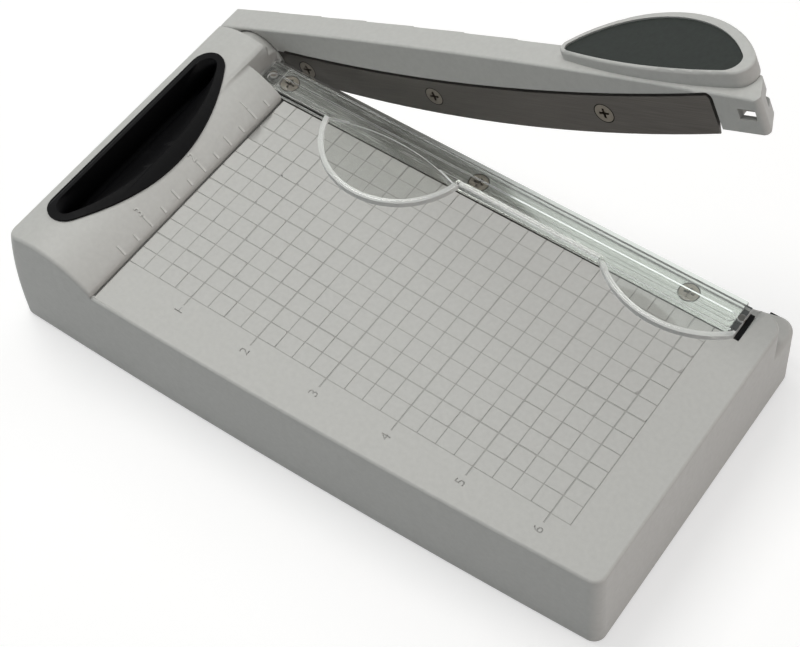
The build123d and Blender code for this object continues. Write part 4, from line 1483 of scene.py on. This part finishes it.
@dataclass
class Lever:
    """Arm with its blade and its padded handle.

    Attributes:
        layout: Shared places.
        finishes: Shared finishes.
        heel_radius: Pivot to the hollow end of the blade's heel.
        heel_angles: Angles from the arm's length between which that end runs.
        heel_reach: Pivot to the heel's other end, inside the blade.
        heel_heights: Lowest and highest corner of that end, over the pivot.
        heel_near: Cutting plane to the heel's near face.
        heel_thickness: Thickness of the heel.
        heel_steps: Sides of the hollow end.
    """

    layout: Layout
    finishes: Finishes
    heel_radius: float = 11.4 * MM
    heel_angles: tuple[float, float] = (math.radians(-35.4), math.radians(18.3))
    heel_reach: float = 14.6 * MM
    heel_heights: tuple[float, float] = (-7.53 * MM, 3.18 * MM)
    heel_near: float = 0.1 * MM
    heel_thickness: float = 1.1 * MM
    heel_steps: int = 16

    def heel(self) -> Mesh:
        """Heel of the blade, which runs on to the hub and is hollowed out round it.

        Returns:
            A closed mesh.
        """
        start, end = self.heel_angles
        low, high = self.heel_heights
        outline = [(self.heel_reach, low)]
        for step in range(self.heel_steps + 1):
            angle = start + (end - start) * step / self.heel_steps
            outline.append((self.heel_radius * math.cos(angle), self.heel_radius * math.sin(angle)))
        outline.append((self.heel_reach, high))
        sides = (self.heel_near, self.heel_near + self.heel_thickness)
        mesh = skinned([[Vector((along, side, rise)) for along, rise in outline] for side in sides])
        bush_low, bush_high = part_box("pivot_bush")
        pivot = (bush_low + bush_high) / 2
        pivot.y = self.layout.cutting_y
        mesh.transform(Matrix.Translation(pivot) @ Matrix.Rotation(-self.layout.lever_turn, 4, "Y"))
        return mesh

    def build(self) -> None:
        """Builds the heel and dresses the pieces that swing."""
        finish_piece(object_from(self.heel(), "blade_heel"), self.finishes.blade, Body.LEVER)
        # Rings of painted shadow lie in the gaps round the blade's screw heads.
        seats = ScrewGap("blade_screws", "moving_blade", FORWARD)
        seats.build("blade_screw_gaps", self.finishes.gap, Body.LEVER)
        dress_nodes(self.finishes.shell, "lever_arm")
        dress_nodes(self.finishes.blade, "moving_blade")
        dress_nodes(self.finishes.screw, "blade_screws")
        dress_nodes(self.finishes.soft, "handle_grip")
        dress_nodes(self.finishes.brass, "pivot_bush")


@dataclass
class Pivot:
    """Bolt, washers and nut that the arm turns on.

    Attributes:
        finishes: Shared finishes.
    """

    finishes: Finishes

    def build(self) -> None:
        """Dresses the pivot's pieces."""
        dress_nodes(
            self.finishes.screw,
            "pivot_backing_plate",
            "pivot_bolt",
            "pivot_head_washer",
            "pivot_nut_washer",
            "pivot_spring_washer",
            "pivot_nut",
        )
        dress_nodes(self.finishes.bearing, "pivot_thrust_washer")


@dataclass
class Underside:
    """Carry grip, bottom plate, feet and the lock.

    Attributes:
        finishes: Shared finishes.
        grip_edge: Radius of the carry grip's rim.
    """

    finishes: Finishes
    grip_edge: float = 0.6 * MM

    def build(self) -> None:
        """Builds the carry grip with its round rim and dresses the other pieces set into the base."""
        grip = rounded_copy("carry_grip", "rounded_carry_grip", self.grip_edge)
        finish_piece(grip, self.finishes.black, Body.BASE, ["carry_grip"])
        dress_nodes(self.finishes.dark, "base_plate")
        dress_nodes(self.finishes.foot, "rubber_feet")
        dress_nodes(self.finishes.black, "lock_slider")
        dress_nodes(self.finishes.strip, "lock_stop_plate")
        dress_nodes(self.finishes.screw, "base_plate_screws", "lock_stop_screw")


# ---------------------------------------------------------------- studio


@dataclass(frozen=True)
class Lamp:
    """Soft square lamp.

    Attributes:
        name: Its name.
        place: Its place in the row frame.
        size: Length of its side.
        power: Its power in watts.
        colour: Its colour.
    """

    name: str
    place: Triple
    size: float
    power: float
    colour: Triple

    def hang(self, aim: Triple) -> None:
        """Hangs the lamp in its place.

        Args:
            aim: Point that it faces.
        """
        data = bpy.data.lights.new(self.name, "AREA")
        data.size = self.size
        data.energy = self.power
        data.color = self.colour
        holder = placed(self.name, data)
        holder.location = self.place
        holder.rotation_euler = (Vector(aim) - Vector(self.place)).to_track_quat("-Z", "Y").to_euler()


def clamped(tree: bpy.types.NodeTree, operation: str, first: Socket, second: Socket) -> Socket:
    """Two sockets put together and kept between 0 and 1.

    Args:
        tree: Tree to add to.
        operation: What is done with them.
        first: First socket.
        second: Second socket.

    Returns:
        The socket that carries the result.
    """
    node = add_node(tree, "ShaderNodeMath", {0: first, 1: second})
    node.operation = operation
    node.use_clamp = True
    return node.outputs["Value"]


@dataclass
class Studio:
    """Camera, pale floor and soft lamps.

    Attributes:
        layout: Shared places.
        eye: Camera's place, right of the fence, in front of the cutting plane and over the deck.
        right: Camera's right-hand direction.
        up: Camera's upward direction.
        back: Direction from the scene to the camera.
        focal_pixels: Focal length in pixels of the picture.
        picture_width: Width of that picture in pixels.
        sensor_width: Width of the camera's sensor in millimetres.
        nearest: Distance from which the camera sees.
        ambient: Light from all round.
        ceiling: Level of the ceiling, against the white of the backdrop.
        ceiling_from: Sines of the heights between which the backdrop turns into the ceiling.
        floor_size: Length of the floor's side.
        floor_tone: Share of light that the floor gives back.
        floor_mottle: Share by which that varies.
        floor_cloud: Fineness of the floor's mottling.
        floor_rough: Lowest and highest roughness of the floor.
        floor_lift: Light added to the floor where the camera sees it.
        lamps: The lamps.
        aim: Point that every lamp faces.
    """

    layout: Layout
    eye: Triple = (0.26016, 0.26245, 0.40133)
    right: Triple = (0.80691, 0.58724, -0.06359)
    up: Triple = (-0.46207, 0.69461, 0.55137)
    back: Triple = (0.36796, -0.41552, 0.83183)
    focal_pixels: float = 1658.25
    picture_width: int = 800
    sensor_width: float = 36.0
    nearest: float = 10.0 * MM
    ambient: float = 0.22
    ceiling: float = 0.3
    ceiling_from: tuple[float, float] = (0.3, 0.7)
    floor_size: float = 6.0
    floor_tone: float = 0.55
    floor_mottle: float = 0.01
    floor_cloud: Speckle = Speckle(3.0, 2.0)
    floor_rough: tuple[float, float] = (0.85, 0.95)
    floor_lift: float = 0.56
    lamps: tuple[Lamp, ...] = (
        Lamp("key", (-0.32, 0.05, 0.93), 0.5, 5.0, (1.0, 0.995, 0.97)),
        Lamp("front", (-0.80, -1.45, 0.52), 1.0, 1.8, (0.78, 0.96, 1.0)),
        Lamp("right", (1.60, 0.12, 0.50), 0.8, 6.8, (1.0, 0.91, 0.87)),
        Lamp("back", (-0.09, 0.57, 0.86), 0.5, 1.05, (0.94, 1.0, 0.97)),
    )
    aim: Triple = (0.0, 0.0, 0.04)

    def camera(self) -> None:
        """Sets the camera."""
        data = bpy.data.cameras.new("camera")
        data.sensor_width = self.sensor_width
        data.lens = self.focal_pixels / self.picture_width * self.sensor_width
        data.clip_start = self.nearest
        holder = placed("camera", data)
        place = Matrix((self.right, self.up, self.back)).transposed().to_4x4()
        place.translation = self.layout.on_deck(*self.eye)
        holder.matrix_world = place
        bpy.context.scene.camera = holder

    @staticmethod
    def level_where_seen(tree: bpy.types.NodeTree, seen: float, otherwise: float) -> bpy.types.Node:
        """Node with one level where the camera looks, and another for the light that is given off.

        What is mirrored in metal or seen through glass counts as looked at, until a dull surface has scattered it.

        Args:
            tree: Tree to add to.
            seen: Level where the camera looks.
            otherwise: Level for everything else.

        Returns:
            The node whose result is the level.
        """
        path = add_node(tree, "ShaderNodeLightPath").outputs
        mirrored = clamped(tree, "ADD", path["Is Glossy Ray"], path["Is Transmission Ray"])
        unscattered = clamped(tree, "SUBTRACT", mirrored, path["Diffuse Depth"])
        looked_at = clamped(tree, "ADD", path["Is Camera Ray"], unscattered)
        return add_node(tree, "ShaderNodeMapRange", {"Value": looked_at}, To_Min=otherwise, To_Max=seen)

    def world(self) -> None:
        """Sets the light from all round, with a white backdrop where it is seen and a dimmer ceiling over it."""
        world = bpy.data.worlds.new("studio")
        world.use_nodes = True
        tree = world.node_tree
        background = tree.nodes["Background"]
        background.inputs["Color"].default_value = WHITE
        direction = add_node(tree, "ShaderNodeTexCoord").outputs["Generated"]
        height = add_node(tree, "ShaderNodeSeparateXYZ", {"Vector": direction}).outputs["Z"]
        low, high = self.ceiling_from
        limits = {"From_Min": low, "From_Max": high, "To_Min": 1.0, "To_Max": self.ceiling}
        fade = add_node(tree, "ShaderNodeMapRange", {"Value": height}, **limits)
        level = self.level_where_seen(tree, 1.0, self.ambient)
        tree.links.new(fade.outputs["Result"], level.inputs["To Max"])
        tree.links.new(level.outputs["Result"], background.inputs["Strength"])
        bpy.context.scene.world = world

    def floor(self) -> None:
        """Lays the pale floor."""
        mesh = bmesh.new()
        bmesh.ops.create_grid(mesh, x_segments=1, y_segments=1, size=self.floor_size / 2)
        floor = object_from(mesh, "floor")
        bench = NodeBench("floor")
        bench.set(Specular_IOR_Level=0.0, Emission_Color=WHITE)
        cloud = bench.noise(self.floor_cloud)
        dark, light = (self.floor_tone * (1.0 + share) for share in (-self.floor_mottle, self.floor_mottle))
        bench.colours(cloud, (dark, dark, dark), (light, light, light))
        bench.roughness(cloud, *self.floor_rough)
        bench.feed("Emission Strength", self.level_where_seen(bench.tree, self.floor_lift, 0.0).outputs["Result"])
        floor.data.materials.append(bench.material)

    def build(self) -> None:
        """Sets up the studio."""
        self.camera()
        self.world()
        self.floor()
        for lamp in self.lamps:
            lamp.hang(self.aim)
        bpy.context.scene.view_settings.view_transform = "Standard"
        log.info("set the studio")


def main() -> None:
    """Builds the trimmer and its studio."""
    logging.basicConfig(level=logging.INFO, format="%(name)s: %(message)s")
    layout = Layout.from_frame()
    finishes = Finishes(layout.lever_turn)
    Studio(layout).build()
    Deck(layout, finishes).build()
    HeadRule(layout, finishes).build()
    Guard(layout, finishes).build()
    Lever(layout, finishes).build()
    Pivot(finishes).build()
    Underside(finishes).build()


if __name__ == "__main__":
    main()
